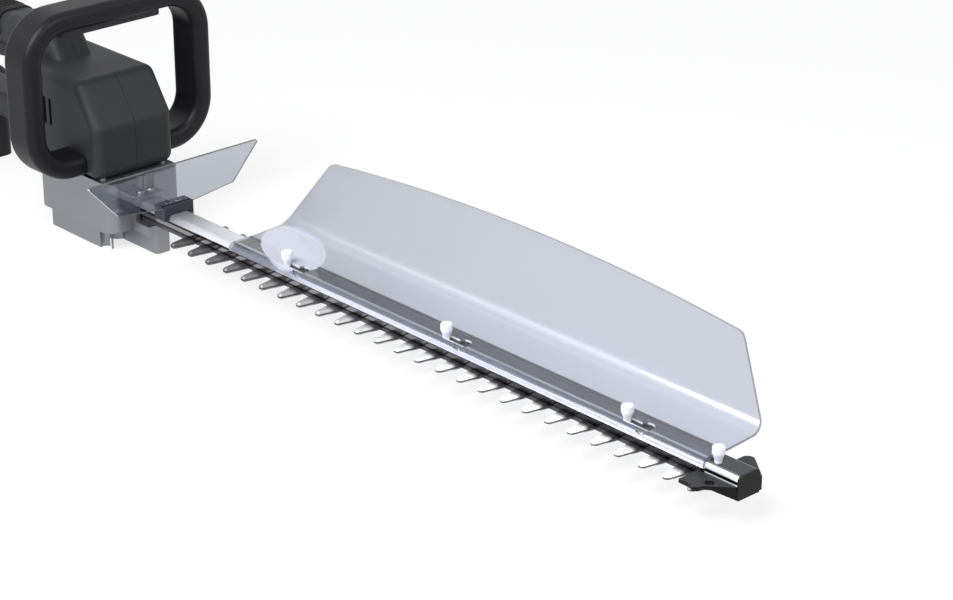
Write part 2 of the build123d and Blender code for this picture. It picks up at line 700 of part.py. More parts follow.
def gear_face(teeth, first_angle):
    """Spur gear outline with stub teeth; first_angle points at a tooth's middle."""
    pitch_radius = GEAR_MODULE * teeth / 2
    angle = math.radians(PRESSURE_ANGLE)
    base_radius = pitch_radius * math.cos(angle)
    root = pitch_radius - DEDENDUM * GEAR_MODULE
    tip = pitch_radius + ADDENDUM * GEAR_MODULE
    half_pitch = math.pi / (2 * teeth) - BACKLASH / (2 * pitch_radius) + math.tan(angle) - angle
    flank = []
    for step in range(FLANK_STEPS + 1):
        radius = root + (tip - root) * step / FLANK_STEPS
        lean = math.acos(min(1.0, base_radius / radius))
        flank.append((radius, half_pitch - math.tan(lean) + lean))
    points = []
    for index in range(teeth):
        middle = math.radians(first_angle) + 2 * math.pi * index / teeth
        turn = [(radius, middle - half) for radius, half in flank]
        turn += [(radius, middle + half) for radius, half in reversed(flank)]
        points += [(radius * math.cos(way), radius * math.sin(way)) for radius, way in turn]
    return make_face(Polyline(*points, close=True))


def drive_gear():
    """Large gear with a recessed web, a tooth pointing at the pinion."""
    gear = plan(gear_face(GEAR_TEETH, 180.0) - Circle(SHAFT_RADIUS), GEAR_Z, GEAR_Z + GEAR_WIDTH)
    ring = Circle(WEB_RADIUS) - Circle(HUB_RADIUS)
    gear -= plan(ring, GEAR_Z, GEAR_Z + WEB_RECESS)
    return gear - plan(ring, GEAR_Z + GEAR_WIDTH - WEB_RECESS, GEAR_Z + GEAR_WIDTH)


def motor_pinion():
    """Small gear on the motor shaft, a gap pointing at the large gear."""
    face = gear_face(PINION_TEETH, 180.0 / PINION_TEETH) - Circle(MOTOR_SHAFT_RADIUS)
    return Pos(MOTOR_X, 0, 0) * plan(face, GEAR_Z, GEAR_Z + GEAR_WIDTH)


def drive_shaft():
    """Gear shaft between the two bearings, with a groove for its retaining ring."""
    low = BASE_TOP - BEARING_WIDTH + SLIDE_FIT
    high = CHAMBER_TOP + BEARING_WIDTH - SLIDE_FIT
    groove = Circle(SHAFT_RADIUS) - Circle(groove_radius())
    return post(0, 0, low, high, SHAFT_RADIUS) - plan(groove, circlip_z(), circlip_z() + CIRCLIP_THICKNESS)


def groove_radius():
    """Bottom of the retaining ring's groove."""
    return SHAFT_RADIUS - CIRCLIP_THICKNESS / 2


def circlip_z():
    """The retaining ring lies on the gear."""
    return GEAR_Z + GEAR_WIDTH


def shaft_circlip():
    """Open retaining ring in the shaft's groove."""
    face = Circle(SHAFT_RADIUS + CIRCLIP_WIDTH) - Circle(groove_radius())
    face -= Pos(SHAFT_RADIUS, 0) * Rectangle(2 * SHAFT_RADIUS, groove_radius())
    return plan(face, circlip_z(), circlip_z() + CIRCLIP_THICKNESS)


def cam(z, way):
    """Eccentric disc inside a blade's window, thrown to one side of the shaft."""
    face = Pos(0, way * ECCENTRICITY) * Circle(CAM_RADIUS) - Circle(SHAFT_RADIUS)
    return plan(face, z + BLADE_FILM / 2, z + BLADE_THICKNESS)


def bearing(z):
    """Ball bearing with a groove between its races."""
    ring = post(0, 0, z, z + BEARING_WIDTH, BEARING_RADIUS)
    ring -= post(0, 0, z, z + BEARING_WIDTH, SHAFT_RADIUS + RUNNING_FIT)
    groove = Circle(BEARING_RADIUS - BEARING_RACE) - Circle(SHAFT_RADIUS + BEARING_RACE)
    ring -= plan(groove, z, z + BEARING_GROOVE)
    return ring - plan(groove, z + BEARING_WIDTH - BEARING_GROOVE, z + BEARING_WIDTH)


# Gear case

def case_screw_places():
    """Four long screws through base and case into the housing."""
    front = min(CASE_FRONT, BODY_FRONT) - CASE_SCREW_INSET
    back = -CASE_BACK + CASE_SCREW_INSET
    side = CASE_HALF_WIDTH - CASE_SCREW_INSET
    return [(x, y) for x in (back, front) for y in (-side, side)]


def recess(z0, z1):
    """Space for the blades' yokes and necks over their travel."""
    x = YOKE_HALF_X + BLADE_TRAVEL + 2 * SLIDE_FIT
    y = YOKE_HALF_Y + 2 * SLIDE_FIT
    neck = SPINE_WIDTH / 2 + 2 * SLIDE_FIT
    return slot_plan(-x, x, y, z0, z1) + box(0, TOE_FRONT, -neck, neck, z0, z1)


def gearbox_case():
    """Cast upper case with the gear chamber, bearing seat, motor holes and the nose that holds the bar."""
    case = rounded_plan(-CASE_BACK, CASE_FRONT, CASE_HALF_WIDTH, BASE_TOP, CASE_TOP, CASE_CORNER)
    case += box(0, NOSE_FRONT, -NOSE_HALF_WIDTH, NOSE_HALF_WIDTH, BASE_TOP, NOSE_TOP)
    case -= recess(BASE_TOP, RECESS_TOP)
    case -= post(0, 0, RECESS_TOP, CHAMBER_TOP, CHAMBER_RADIUS)
    case -= post(MOTOR_X, 0, RECESS_TOP, CASE_TOP, PINION_ROOM)
    case -= post(0, 0, CHAMBER_TOP, CHAMBER_TOP + BEARING_WIDTH, BEARING_RADIUS)
    half = BAR_WIDTH / 2
    case -= box(BAR_BACK, NOSE_FRONT, -half, half, BASE_TOP, BAR_TOP)
    for x, y in bar_screw_places():
        case -= post(x, y, BAR_TOP, CASE_TOP, BOLT_RADIUS)
        case -= post(x, y, NOSE_TOP, CASE_TOP, HEAD_RADIUS + SEAT_FIT)
    for x, y in case_screw_places():
        case -= post(x, y, BASE_TOP, CASE_TOP, CASE_SCREW_RADIUS)
    for x, y in motor_screw_places():
        case -= post(x, y, BASE_TOP, CASE_TOP, MOTOR_SCREW_RADIUS)
        case -= post(x, y, BASE_TOP, CASE_TOP - CASE_ROOF, HEAD_RADIUS)
    return case


def gearbox_base():
    """Base plate that closes the case, with the lower bearing seat, two skids and a toe."""
    base = rounded_plan(-CASE_BACK, CASE_FRONT, CASE_HALF_WIDTH, SKID_HEIGHT, BASE_TOP, CASE_CORNER)
    base += box(0, TOE_FRONT, -NOSE_HALF_WIDTH, NOSE_HALF_WIDTH, SKID_HEIGHT, BASE_TOP)
    base += post(0, 0, 0, SKID_HEIGHT, BASE_BOSS_RADIUS)
    for side in (-1, 1):
        middle = side * (CASE_HALF_WIDTH - SKID_INSET - SKID_WIDTH / 2)
        skid = rounded_plan(-CASE_BACK + CASE_CORNER, CASE_FRONT - CASE_CORNER, SKID_WIDTH / 2,
                            0, SKID_HEIGHT, SKID_WIDTH / 3)
        base += Pos(0, middle, 0) * skid
    base += rounded_plan(0, TOE_FRONT, SKID_WIDTH, 0, SKID_HEIGHT, SKID_WIDTH / 2)
    base -= post(0, 0, BASE_TOP - BEARING_WIDTH, BASE_TOP, BEARING_RADIUS)
    for x, y in case_screw_places():
        base -= post(x, y, 0, BASE_TOP, CASE_SCREW_RADIUS)
        base -= post(x, y, 0, SKID_HEIGHT + HEAD_HEIGHT, HEAD_RADIUS + CASE_SCREW_RADIUS / 2)
    return base


def gearbox_screw(x, y):
    """Long screw from under the base plate up into the housing."""
    head = post(x, y, SKID_HEIGHT, SKID_HEIGHT + HEAD_HEIGHT, HEAD_RADIUS)
    return head + post(x, y, SKID_HEIGHT + HEAD_HEIGHT, CASE_TOP + CASE_SCREW_GRIP, CASE_SCREW_RADIUS)


# Motor

def motor_screw_places():
    """Two screws beside the motor shaft."""
    return [(MOTOR_X, -MOTOR_SCREW_SPREAD), (MOTOR_X, MOTOR_SCREW_SPREAD)]


def motor_screw(x, y):
    """Screw from inside the case into the motor's floor."""
    seat = CASE_TOP - CASE_ROOF
    head = post(x, y, seat - HEAD_HEIGHT, seat, HEAD_RADIUS)
    return head + post(x, y, seat, CASE_TOP + CAN_FLOOR, MOTOR_SCREW_RADIUS)


def motor_can():
    """Deep-drawn can standing on the case."""
    can = post(MOTOR_X, 0, CASE_TOP, CASE_TOP + CAN_LENGTH, CAN_RADIUS)
    can -= post(MOTOR_X, 0, CASE_TOP + CAN_FLOOR, CASE_TOP + CAN_LENGTH, CAN_RADIUS - CAN_WALL)
    can -= post(MOTOR_X, 0, CASE_TOP, CASE_TOP + CAN_FLOOR, MOTOR_SHAFT_RADIUS + RUNNING_FIT)
    for x, y in motor_screw_places():
        can -= post(x, y, CASE_TOP, CASE_TOP + CAN_FLOOR, MOTOR_SCREW_RADIUS)
    return can


def armature_z():
    """Bottom of the armature's stack."""
    return CASE_TOP + CAN_FLOOR + ARMATURE_LIFT


def magnet_radius():
    """Inner radius of the magnets."""
    return CAN_RADIUS - CAN_WALL - MAGNET_THICKNESS


def motor_magnets():
    """Two curved magnets inside the can."""
    mid = armature_z() + ARMATURE_LENGTH / 2
    ring = Circle(CAN_RADIUS - CAN_WALL) - Circle(magnet_radius())
    magnets = []
    for middle in (0.0, 180.0):
        half = math.radians(MAGNET_ARC / 2)
        reach = 2 * CAN_RADIUS
        wedge = make_face(Polyline((0, 0), (reach * math.cos(half), -reach * math.sin(half)), (2 * reach, 0),
                                   (reach * math.cos(half), reach * math.sin(half)), close=True))
        arc = Rot(0, 0, middle) * (ring & wedge)
        magnets.append(Pos(MOTOR_X, 0, 0) * plan(arc, mid - MAGNET_LENGTH / 2, mid + MAGNET_LENGTH / 2))
    return group(magnets)


def motor_end_cap():
    """Moulded cap that closes the can and carries the upper end of the shaft."""
    z0 = CASE_TOP + CAN_LENGTH
    cap = post(MOTOR_X, 0, z0, z0 + END_CAP_HEIGHT, CAN_RADIUS)
    cap -= post(MOTOR_X, 0, z0, z0 + END_CAP_HEIGHT / 2, CAN_RADIUS - 2 * CAN_WALL)
    return cap - post(MOTOR_X, 0, z0, z0 + END_CAP_HEIGHT, MOTOR_SHAFT_RADIUS + RUNNING_FIT)


def commutator_z():
    """Bottom of the commutator, below the end cap."""
    return CASE_TOP + CAN_LENGTH - COMMUTATOR_LENGTH + END_CAP_HEIGHT / 4


def commutator():
    """Copper commutator on the shaft."""
    z0 = commutator_z()
    ring = post(MOTOR_X, 0, z0, z0 + COMMUTATOR_LENGTH, COMMUTATOR_RADIUS)
    return ring - post(MOTOR_X, 0, z0, z0 + COMMUTATOR_LENGTH, MOTOR_SHAFT_RADIUS)


def motor_brushes():
    """Two carbon brushes reaching from the can to the commutator."""
    z0 = commutator_z() + COMMUTATOR_LENGTH / 4
    start = COMMUTATOR_RADIUS + SLIDE_FIT
    end = CAN_RADIUS - CAN_WALL - SLIDE_FIT
    pair = []
    for side in (-1, 1):
        low, high = sorted((side * start, side * end))
        half = BRUSH_WIDTH / 2
        pair.append(box(MOTOR_X - half, MOTOR_X + half, low, high, z0, z0 + BRUSH_WIDTH))
    return group(pair)


def armature():
    """Slotted stack of the rotor."""
    outer = magnet_radius() - AIR_GAP
    face = Circle(outer) - Circle(MOTOR_SHAFT_RADIUS)
    for index in range(ARMATURE_SLOTS):
        slot = Pos(outer, 0) * Rectangle(2 * SLOT_DEPTH, SLOT_WIDTH)
        face -= Rot(0, 0, 360.0 * index / ARMATURE_SLOTS) * slot
    return Pos(MOTOR_X, 0, 0) * plan(face, armature_z(), armature_z() + ARMATURE_LENGTH)


def cooling_fan():
    """Small fan on the shaft inside the can's floor."""
    z0 = CASE_TOP + CAN_FLOOR + FAN_LIFT
    face = Circle(COMMUTATOR_RADIUS) - Circle(MOTOR_SHAFT_RADIUS)
    fan = plan(face, z0, z0 + FAN_HEIGHT)
    fan += plan(Circle(FAN_RADIUS) - Circle(MOTOR_SHAFT_RADIUS), z0, z0 + FAN_BLADE_THICKNESS)
    for index in range(FAN_BLADES):
        half = FAN_BLADE_THICKNESS / 2
        paddle = box(COMMUTATOR_RADIUS - half, FAN_RADIUS - FAN_RIM, -half, half, z0, z0 + FAN_HEIGHT)
        fan += Rot(0, 0, 360.0 * index / FAN_BLADES) * paddle
    return Pos(MOTOR_X, 0, 0) * fan


def motor_shaft():
    """Rotor shaft from the pinion to the end cap."""
    return post(MOTOR_X, 0, GEAR_Z, CASE_TOP + CAN_LENGTH + END_CAP_HEIGHT, MOTOR_SHAFT_RADIUS)


# Front loop handle

def loop_face(inset):
    """The loop's outline seen from the front, drawn in by inset."""
    return RectangleRounded(2 * (LOOP_HALF_WIDTH - inset), LOOP_HEIGHT - 2 * inset, LOOP_CORNER - inset)


def loop_ring(inset, x0, x1):
    """The loop's closed ring, drawn in by inset on every side."""
    face = Pos(0, LOOP_MID_Z) * (loop_face(inset) - loop_face(LOOP_BAR - inset))
    return Pos(x0, 0, 0) * extrude(Plane.YZ * face, x1 - x0)


def loop_post_places():
    """Where the loop's screw posts stand, as (y, z)."""
    side = LOOP_HALF_WIDTH - LOOP_BAR / 2
    spread = LOOP_POST_PITCH / 2
    return [(way * side, LOOP_MID_Z + rise) for way in (-1, 1) for rise in (-spread, spread)]


def loop_handle():
    """Whole hollow loop before it is split, open where it meets the housing and under the lever."""
    loop = loop_ring(0, LOOP_BACK, LOOP_FRONT)
    ends = loop.faces().sort_by(Axis.X)
    loop = fillet(ends[0].edges() + ends[-1].edges(), LOOP_EDGE)
    loop -= loop_ring(LOOP_WALL, LOOP_BACK + LOOP_WALL, LOOP_FRONT - LOOP_WALL)
    for y, z in loop_post_places():
        loop += rod_x(LOOP_BACK + LOOP_WALL, LOOP_FRONT - LOOP_WALL, y, z, LOOP_POST_RADIUS)
        loop -= rod_x(LOOP_BACK, LOOP_FRONT - LOOP_WALL, y, z, LOOP_SCREW_RADIUS)
        loop -= rod_x(LOOP_BACK, LOOP_BACK + LOOP_WALL, y, z, HEAD_RADIUS)
    loop -= box(LOOP_BACK, LOOP_FRONT, -BODY_HALF_WIDTH, BODY_HALF_WIDTH, LOOP_BOTTOM, LOOP_MID_Z)
    slot_x = LEVER_WIDTH / 2 + SLIDE_FIT
    slot_y = LEVER_HALF_LENGTH + SLIDE_FIT
    slot_top = LOOP_TOP - LOOP_BAR + LOOP_WALL
    return loop - box(LOOP_MID_X - slot_x, LOOP_MID_X + slot_x, -slot_y, slot_y, LOOP_MID_Z, slot_top)


def loop_screw(y, z):
    """Screw from the back half into the front half."""
    start = LOOP_BACK
    head = rod_x(start, start + LOOP_WALL, y, z, HEAD_RADIUS)
    return head + rod_x(start + LOOP_WALL, LOOP_FRONT - LOOP_WALL - LOOP_POST_RADIUS, y, z, LOOP_SCREW_RADIUS)


def lever_flange_z():
    """Underside of the lever's flange, resting on the loop's wall."""
    return LOOP_TOP - LOOP_BAR + LOOP_WALL + SEAT_FIT


def front_switch_lever():
    """Bar under the loop's top that the hand squeezes up, kept in by its flange."""
    seat = lever_flange_z()
    low = LOOP_TOP - LOOP_BAR - LEVER_TRAVEL - LEVER_LEDGE
    half = LEVER_WIDTH / 2
    bar = plan(Rot(0, 0, 90) * SlotOverall(2 * LEVER_HALF_LENGTH, LEVER_WIDTH), low, seat)
    wide = half + LEVER_FLANGE
    bar += box(-wide, wide, -LEVER_HALF_LENGTH, LEVER_HALF_LENGTH, seat, seat + LEVER_FLANGE_HEIGHT)
    return Pos(LOOP_MID_X, 0, 0) * bar


def lever_springs():
    """Two small coil springs above the lever, as sleeves of their outer size."""
    z0 = lever_flange_z() + LEVER_FLANGE_HEIGHT
    z1 = LOOP_TOP - LOOP_WALL
    pair = []
    for side in (-1, 1):
        y = side * LEVER_SPRING_SPREAD
        sleeve = post(LOOP_MID_X, y, z0, z1, LEVER_SPRING_RADIUS)
        pair.append(sleeve - post(LOOP_MID_X, y, z0, z1, LEVER_SPRING_RADIUS - SPRING_WALL))
    return group(pair)


def front_microswitch():
    """Switch in the loop's top bar, beside the lever's end."""
    y0 = LEVER_HALF_LENGTH + SWITCH_GAP
    z0 = LOOP_TOP - LOOP_BAR + LOOP_WALL
    return box(LOOP_MID_X - SWITCH_WIDTH / 2, LOOP_MID_X + SWITCH_WIDTH / 2, y0, y0 + SWITCH_HEIGHT,
               z0, z0 + SWITCH_HEIGHT - LOOP_WALL)


# Housing

def side_block(points, half_width, corner, edge, inset):
    """A side-view outline made a block; inset draws it in on every side for the hollow inside."""
    face = fillet(make_face(Polyline(*points, close=True)).vertices(), corner)
    if inset:
        return extrude(Plane.XZ * offset(face, -inset), half_width - inset, both=True)
    block = extrude(Plane.XZ * face, half_width, both=True)
    ends = block.faces().sort_by(Axis.Y)
    return fillet(ends[0].edges() + ends[-1].edges(), edge)


def side_box(x0, x1, z0, z1):
    """Corners of a rectangle in the side view."""
    return [(x0, z0), (x1, z0), (x1, z1), (x0, z1)]


def housing_mass(inset):
    """Front body, neck, grip, rear column, beam and battery foot as one mass."""
    body = [(-BODY_BACK, CASE_TOP), (BODY_FRONT, CASE_TOP), (BODY_FRONT, BODY_TOP - BODY_SLOPE_DROP),
            (BODY_FRONT - BODY_SLOPE_RUN, BODY_TOP), (-BODY_BACK, BODY_TOP)]
    neck_front = -BODY_BACK + NECK_OVERLAP
    neck_back = -BODY_BACK - NECK_LENGTH
    neck_low = GRIP_BOTTOM - NECK_DROP
    grip_front = -BODY_BACK - BODY_EDGE
    neck = [(neck_front, BODY_TOP - BODY_EDGE), (neck_front - NECK_DROP, GRIP_TOP + NECK_COLLAR),
            (neck_back, GRIP_TOP + NECK_COLLAR), (neck_back, GRIP_BOTTOM - NECK_COLLAR),
            (grip_front, neck_low), (neck_front, neck_low)]
    column_back = -COLUMN_BACK + COLUMN_STEP
    column_front = -COLUMN_BACK + COLUMN_DEPTH
    column_mid = (column_back + column_front) / 2
    grip = side_box(column_mid, grip_front, GRIP_BOTTOM, GRIP_TOP)
    column = [(column_back, BEAM_BOTTOM + COLUMN_STEP), (column_front, BEAM_BOTTOM + COLUMN_STEP),
              (column_front, GRIP_TOP + NECK_COLLAR), (column_back, GRIP_TOP - 2 * COLUMN_STEP)]
    beam_front = -BODY_BACK + NECK_OVERLAP / 2
    beam = side_box(column_mid, beam_front, BEAM_BOTTOM, BEAM_TOP)
    foot = side_box(-COLUMN_BACK, -FOOT_FRONT, FOOT_BOTTOM, FOOT_BOTTOM + FOOT_HEIGHT)
    mass = side_block(body, BODY_HALF_WIDTH, BODY_EDGE + EDGE_STEP, BODY_EDGE, inset)
    mass += side_block(neck, GRIP_HALF_WIDTH + NECK_COLLAR, GRIP_EDGE, GRIP_EDGE - EDGE_STEP, inset)
    mass += side_block(grip, GRIP_HALF_WIDTH, GRIP_EDGE + EDGE_STEP, GRIP_EDGE, inset)
    mass += side_block(column, COLUMN_HALF_WIDTH, GRIP_EDGE + EDGE_STEP, GRIP_EDGE, inset)
    mass += side_block(beam, BEAM_HALF_WIDTH, FOOT_EDGE + EDGE_STEP, FOOT_EDGE, inset)
    return mass + side_block(foot, BODY_HALF_WIDTH - EDGE_STEP, FOOT_EDGE + EDGE_STEP, FOOT_EDGE, inset)


def housing_screw_places():
    """Screws that close the clamshell, as (x, z, half width there)."""
    column_mid = -COLUMN_BACK + COLUMN_DEPTH / 2
    front = BODY_FRONT - 2 * HOUSING_BOSS_RADIUS - WALL
    back = -BODY_BACK + HOUSING_BOSS_RADIUS + WALL
    grip = -COLUMN_BACK + COLUMN_DEPTH + GRIP_SCREW_GAP
    beam = -FOOT_FRONT + BEAM_SCREW_GAP
    places = [(front, CASE_TOP + BODY_SCREW_RISE, BODY_HALF_WIDTH)]
    places += [(back, BODY_TOP - BODY_SCREW_DROP, BODY_HALF_WIDTH)]
    places += [(grip, (GRIP_BOTTOM + GRIP_TOP) / 2, GRIP_HALF_WIDTH)]
    places += [(column_mid, (BEAM_TOP + GRIP_BOTTOM) / 2, COLUMN_HALF_WIDTH)]
    return places + [(beam, (BEAM_BOTTOM + BEAM_TOP) / 2, BEAM_HALF_WIDTH)]


def rail_block():
    """Solid liner round the battery's channel."""
    high = RAIL_TOP + RAIL_LINER + LATCH_HOOK
    half = RAIL_HALF_WIDTH + RAIL_LINER
    return box(-COLUMN_BACK + WALL, -FOOT_FRONT - WALL, -half, half, FOOT_BOTTOM + WALL, high)


def rail_channel():
    """T-shaped channel for the battery's rail, open at the back, with the latch's groove in its roof."""
    back = -COLUMN_BACK - WALL
    wide = RAIL_HALF_WIDTH + SLIDE_FIT
    neck = RAIL_NECK + SLIDE_FIT
    channel = box(back, CHANNEL_FRONT, -neck, neck, FOOT_BOTTOM - WALL, RAIL_TOP + SLIDE_FIT)
    channel += box(back, CHANNEL_FRONT, -wide, wide, FOOT_BOTTOM + RAIL_LIP, RAIL_TOP + SLIDE_FIT)
    hook = LATCH_HALF_WIDTH + 2 * SLIDE_FIT
    hook_top = RAIL_TOP + LATCH_HOOK + 2 * SLIDE_FIT
    return channel + box(back, latch_x() + LATCH_DEPTH + LATCH_ROOM, -hook, hook, FOOT_BOTTOM, hook_top)


def trigger_pivot_z():
    """Height of the trigger's hinge pin inside the grip."""
    return GRIP_BOTTOM + TRIGGER_PIVOT_DEPTH


def loop_spigot():
    """Block on the housing's side that the two halves of the loop close round."""
    inset = LOOP_WALL + SEAT_FIT
    return box(LOOP_BACK + inset, LOOP_FRONT - inset, BODY_HALF_WIDTH - WALL, BODY_HALF_WIDTH + SPIGOT_LENGTH,
               LOOP_BOTTOM + inset, LOOP_BOTTOM + LOOP_BAR - inset)


def housing():
    """Whole hollow housing before it is split down the middle."""
    mass = housing_mass(0)
    shell = mass - housing_mass(WALL)
    bosses = rail_block()
    for x, z, half in housing_screw_places():
        bosses += rod_y(x, -half, half, z, HOUSING_BOSS_RADIUS)
    for x, y in case_screw_places():
        bosses += post(x, y, CASE_TOP, CASE_TOP + CASE_SCREW_GRIP + WALL, CASE_BOSS_RADIUS)
    side = GRIP_HALF_WIDTH
    bosses += rod_y(TRIGGER_PIVOT_X, -side, side, trigger_pivot_z(), PIN_BOSS_RADIUS)
    shell += bosses & mass
    shell += loop_spigot()
    shell += mirror(loop_spigot(), Plane.XZ)
    room = TRIGGER_HALF_WIDTH + 2 * SLIDE_FIT
    shell -= box(TRIGGER_PIVOT_X - TRIGGER_LENGTH - TRIGGER_SLOT_ROOM, TRIGGER_PIVOT_X + 2 * PIN_BOSS_RADIUS,
                 -room, room, GRIP_BOTTOM - WALL, GRIP_TOP - WALL)
    shell -= rod_y(TRIGGER_PIVOT_X, -pin_half(), pin_half(), trigger_pivot_z(), PIN_RADIUS)
    shell -= post(MOTOR_X, 0, CASE_TOP - WALL, CASE_TOP + 2 * WALL, CAN_RADIUS + SLIDE_FIT)
    shell -= rail_channel()
    for x, y in case_screw_places():
        shell -= post(x, y, CASE_TOP - WALL, CASE_TOP + CASE_SCREW_GRIP, CASE_SCREW_RADIUS)
    for x, z, half in housing_screw_places():
        shell -= rod_y(x, -half + HEAD_HEIGHT, half, z, HOUSING_SCREW_RADIUS)
        shell -= rod_y(x, half - HEAD_HEIGHT, half, z, HEAD_RADIUS)
    for index in range(VENT_COUNT):
        x = VENT_FIRST_X + index * VENT_PITCH
        vent = Pos(x, VENT_MID_Z) * Rot(0, 0, 90) * SlotOverall(VENT_HEIGHT, VENT_WIDTH)
        shell -= extrude(Plane.XZ * vent, 2 * BODY_HALF_WIDTH, both=True)
    return shell


def pin_half():
    """Half length of the trigger's pin."""
    return GRIP_HALF_WIDTH - WALL


def housing_screw(x, z, half):
    """Clamshell screw with its head in the right half."""
    head = rod_y(x, half - HEAD_HEIGHT, half - SEAT_FIT, z, HEAD_RADIUS)
    return head + rod_y(x, -half + HEAD_HEIGHT, half - HEAD_HEIGHT, z, HOUSING_SCREW_RADIUS)


def rear_grip():
    """Soft pad over the top of the grip."""
    middle = GRIP_BOTTOM + GRIP_HEIGHT / 2
    inner = RectangleRounded(2 * GRIP_HALF_WIDTH, GRIP_HEIGHT, GRIP_EDGE)
    t = GRIP_PAD_THICKNESS
    outer = RectangleRounded(2 * (GRIP_HALF_WIDTH + t), GRIP_HEIGHT + 2 * t, GRIP_EDGE + t)
    low = GRIP_TOP - GRIP_PAD_HEIGHT
    face = Pos(0, middle) * (outer - inner)
    face &= Pos(0, low + GRIP_HEIGHT) * Rectangle(4 * GRIP_HALF_WIDTH, 2 * GRIP_HEIGHT)
    back = -GRIP_PAD_FRONT - GRIP_PAD_LENGTH
    return Pos(back, 0, 0) * extrude(Plane.YZ * face, GRIP_PAD_LENGTH)


# Trigger

def rear_trigger():
    """Trigger under the grip, hinged at its front."""
    x = TRIGGER_PIVOT_X
    z = trigger_pivot_z()
    back = x - TRIGGER_LENGTH
    low = GRIP_BOTTOM - TRIGGER_DROP
    nose = x + TRIGGER_HUB
    high = z + TRIGGER_HUB_RISE
    points = [(nose, z - TRIGGER_HUB_RISE), (nose, high), (x - TRIGGER_HUB, high), (back, z)]
    points += [(back, GRIP_BOTTOM - TRIGGER_EDGE / 2), (back + TRIGGER_HEEL, low + 2 * TRIGGER_EDGE)]
    points += [(back + TRIGGER_LENGTH / 2, low), (x, low + TRIGGER_EDGE)]
    face = fillet(make_face(Polyline(*points, close=True)).vertices(), TRIGGER_EDGE)
    trigger = extrude(Plane.XZ * face, TRIGGER_HALF_WIDTH, both=True)
    return trigger - rod_y(x, -TRIGGER_HALF_WIDTH, TRIGGER_HALF_WIDTH, z, PIN_RADIUS + RUNNING_FIT)


def trigger_pin():
    """Hinge pin of the trigger."""
    return rod_y(TRIGGER_PIVOT_X, -pin_half(), pin_half(), trigger_pivot_z(), PIN_RADIUS)


def trigger_spring():
    """Return spring between the trigger's back and the grip's roof, as a sleeve of its outer size."""
    x = TRIGGER_PIVOT_X - TRIGGER_LENGTH + TRIGGER_SPRING_INSET
    z0 = trigger_pivot_z() + TRIGGER_SPRING_GAP
    z1 = GRIP_TOP - WALL
    return post(x, 0, z0, z1, LEVER_SPRING_RADIUS) - post(x, 0, z0, z1, LEVER_SPRING_RADIUS - SPRING_WALL)


def rear_microswitch():
    """Switch on the grip's roof above the trigger."""
    x1 = TRIGGER_PIVOT_X - 2 * PIN_BOSS_RADIUS
    z1 = GRIP_TOP - WALL
    return box(x1 - SWITCH_LENGTH, x1, -SWITCH_WIDTH / 2, SWITCH_WIDTH / 2, z1 - SWITCH_HEIGHT, z1)


def control_board():
    """Upright board between the housing's walls behind the motor."""
    x = MOTOR_X - CAN_RADIUS - BOARD_GAP
    half = BODY_HALF_WIDTH - WALL - SEAT_FIT
    low = CASE_TOP + WALL + SEAT_FIT
    board = box(x, x + BOARD_THICKNESS, -half, half, low, low + BOARD_HEIGHT)
    for index in range(CHIP_COUNT):
        y = (index - (CHIP_COUNT - 1) / 2) * CHIP_PITCH
        z0 = low + CHIP_LIFT
        board += box(x - CHIP_THICKNESS, x, y - CHIP_WIDTH / 2, y + CHIP_WIDTH / 2, z0, z0 + CHIP_HEIGHT)
    return board


# Battery

def terminal_block():
    """Carrier of the contact blades at the channel's front end."""
    x1 = CHANNEL_FRONT
    return box(x1 - TERMINAL_DEPTH, x1, -RAIL_NECK, RAIL_NECK, FOOT_BOTTOM + SEAT_FIT, RAIL_TOP)


def contact_z():
    """Lower and upper edge of the contact blades."""
    return FOOT_BOTTOM + CONTACT_LIFT, RAIL_TOP - CONTACT_ROOM


def contact_post_x():
    """Place of the posts that carry current from the battery's board to its contact slots."""
    return CHANNEL_FRONT - TERMINAL_DEPTH - CONTACT_LENGTH + CONTACT_POST


def terminal_blades():
    """Two contact blades that enter the battery's rail."""
    x1 = CHANNEL_FRONT - TERMINAL_DEPTH
    z0, z1 = contact_z()
    pair = []
    for side in (-1, 1):
        y = side * CONTACT_SPREAD
        half = CONTACT_THICKNESS / 2
        pair.append(box(x1 - CONTACT_LENGTH, x1, y - half, y + half, z0, z1))
    return group(pair)


def battery_screw_places():
    """Four corner screws of the battery."""
    inset = BATTERY_WALL + 2 * BATTERY_SCREW_RADIUS
    side = BATTERY_HALF_WIDTH - inset
    return [(x, y) for x in (BATTERY_BACK + inset, BATTERY_FRONT - inset) for y in (-side, side)]


def battery_shell(z0, z1, floor_z0, floor_z1):
    """Half of the battery's case: a wall ring and one closed side."""
    wall = BATTERY_WALL
    shell = rounded_plan(BATTERY_BACK, BATTERY_FRONT, BATTERY_HALF_WIDTH, z0, z1, BATTERY_CORNER)
    hollow = rounded_plan(BATTERY_BACK + wall, BATTERY_FRONT - wall, BATTERY_HALF_WIDTH - wall, z0, z1,
                          BATTERY_CORNER - wall)
    shell -= hollow
    shell += rounded_plan(BATTERY_BACK, BATTERY_FRONT, BATTERY_HALF_WIDTH, floor_z0, floor_z1, BATTERY_CORNER)
    for x, y in battery_screw_places():
        shell += post(x, y, z0, z1, 2 * BATTERY_SCREW_RADIUS)
    return shell


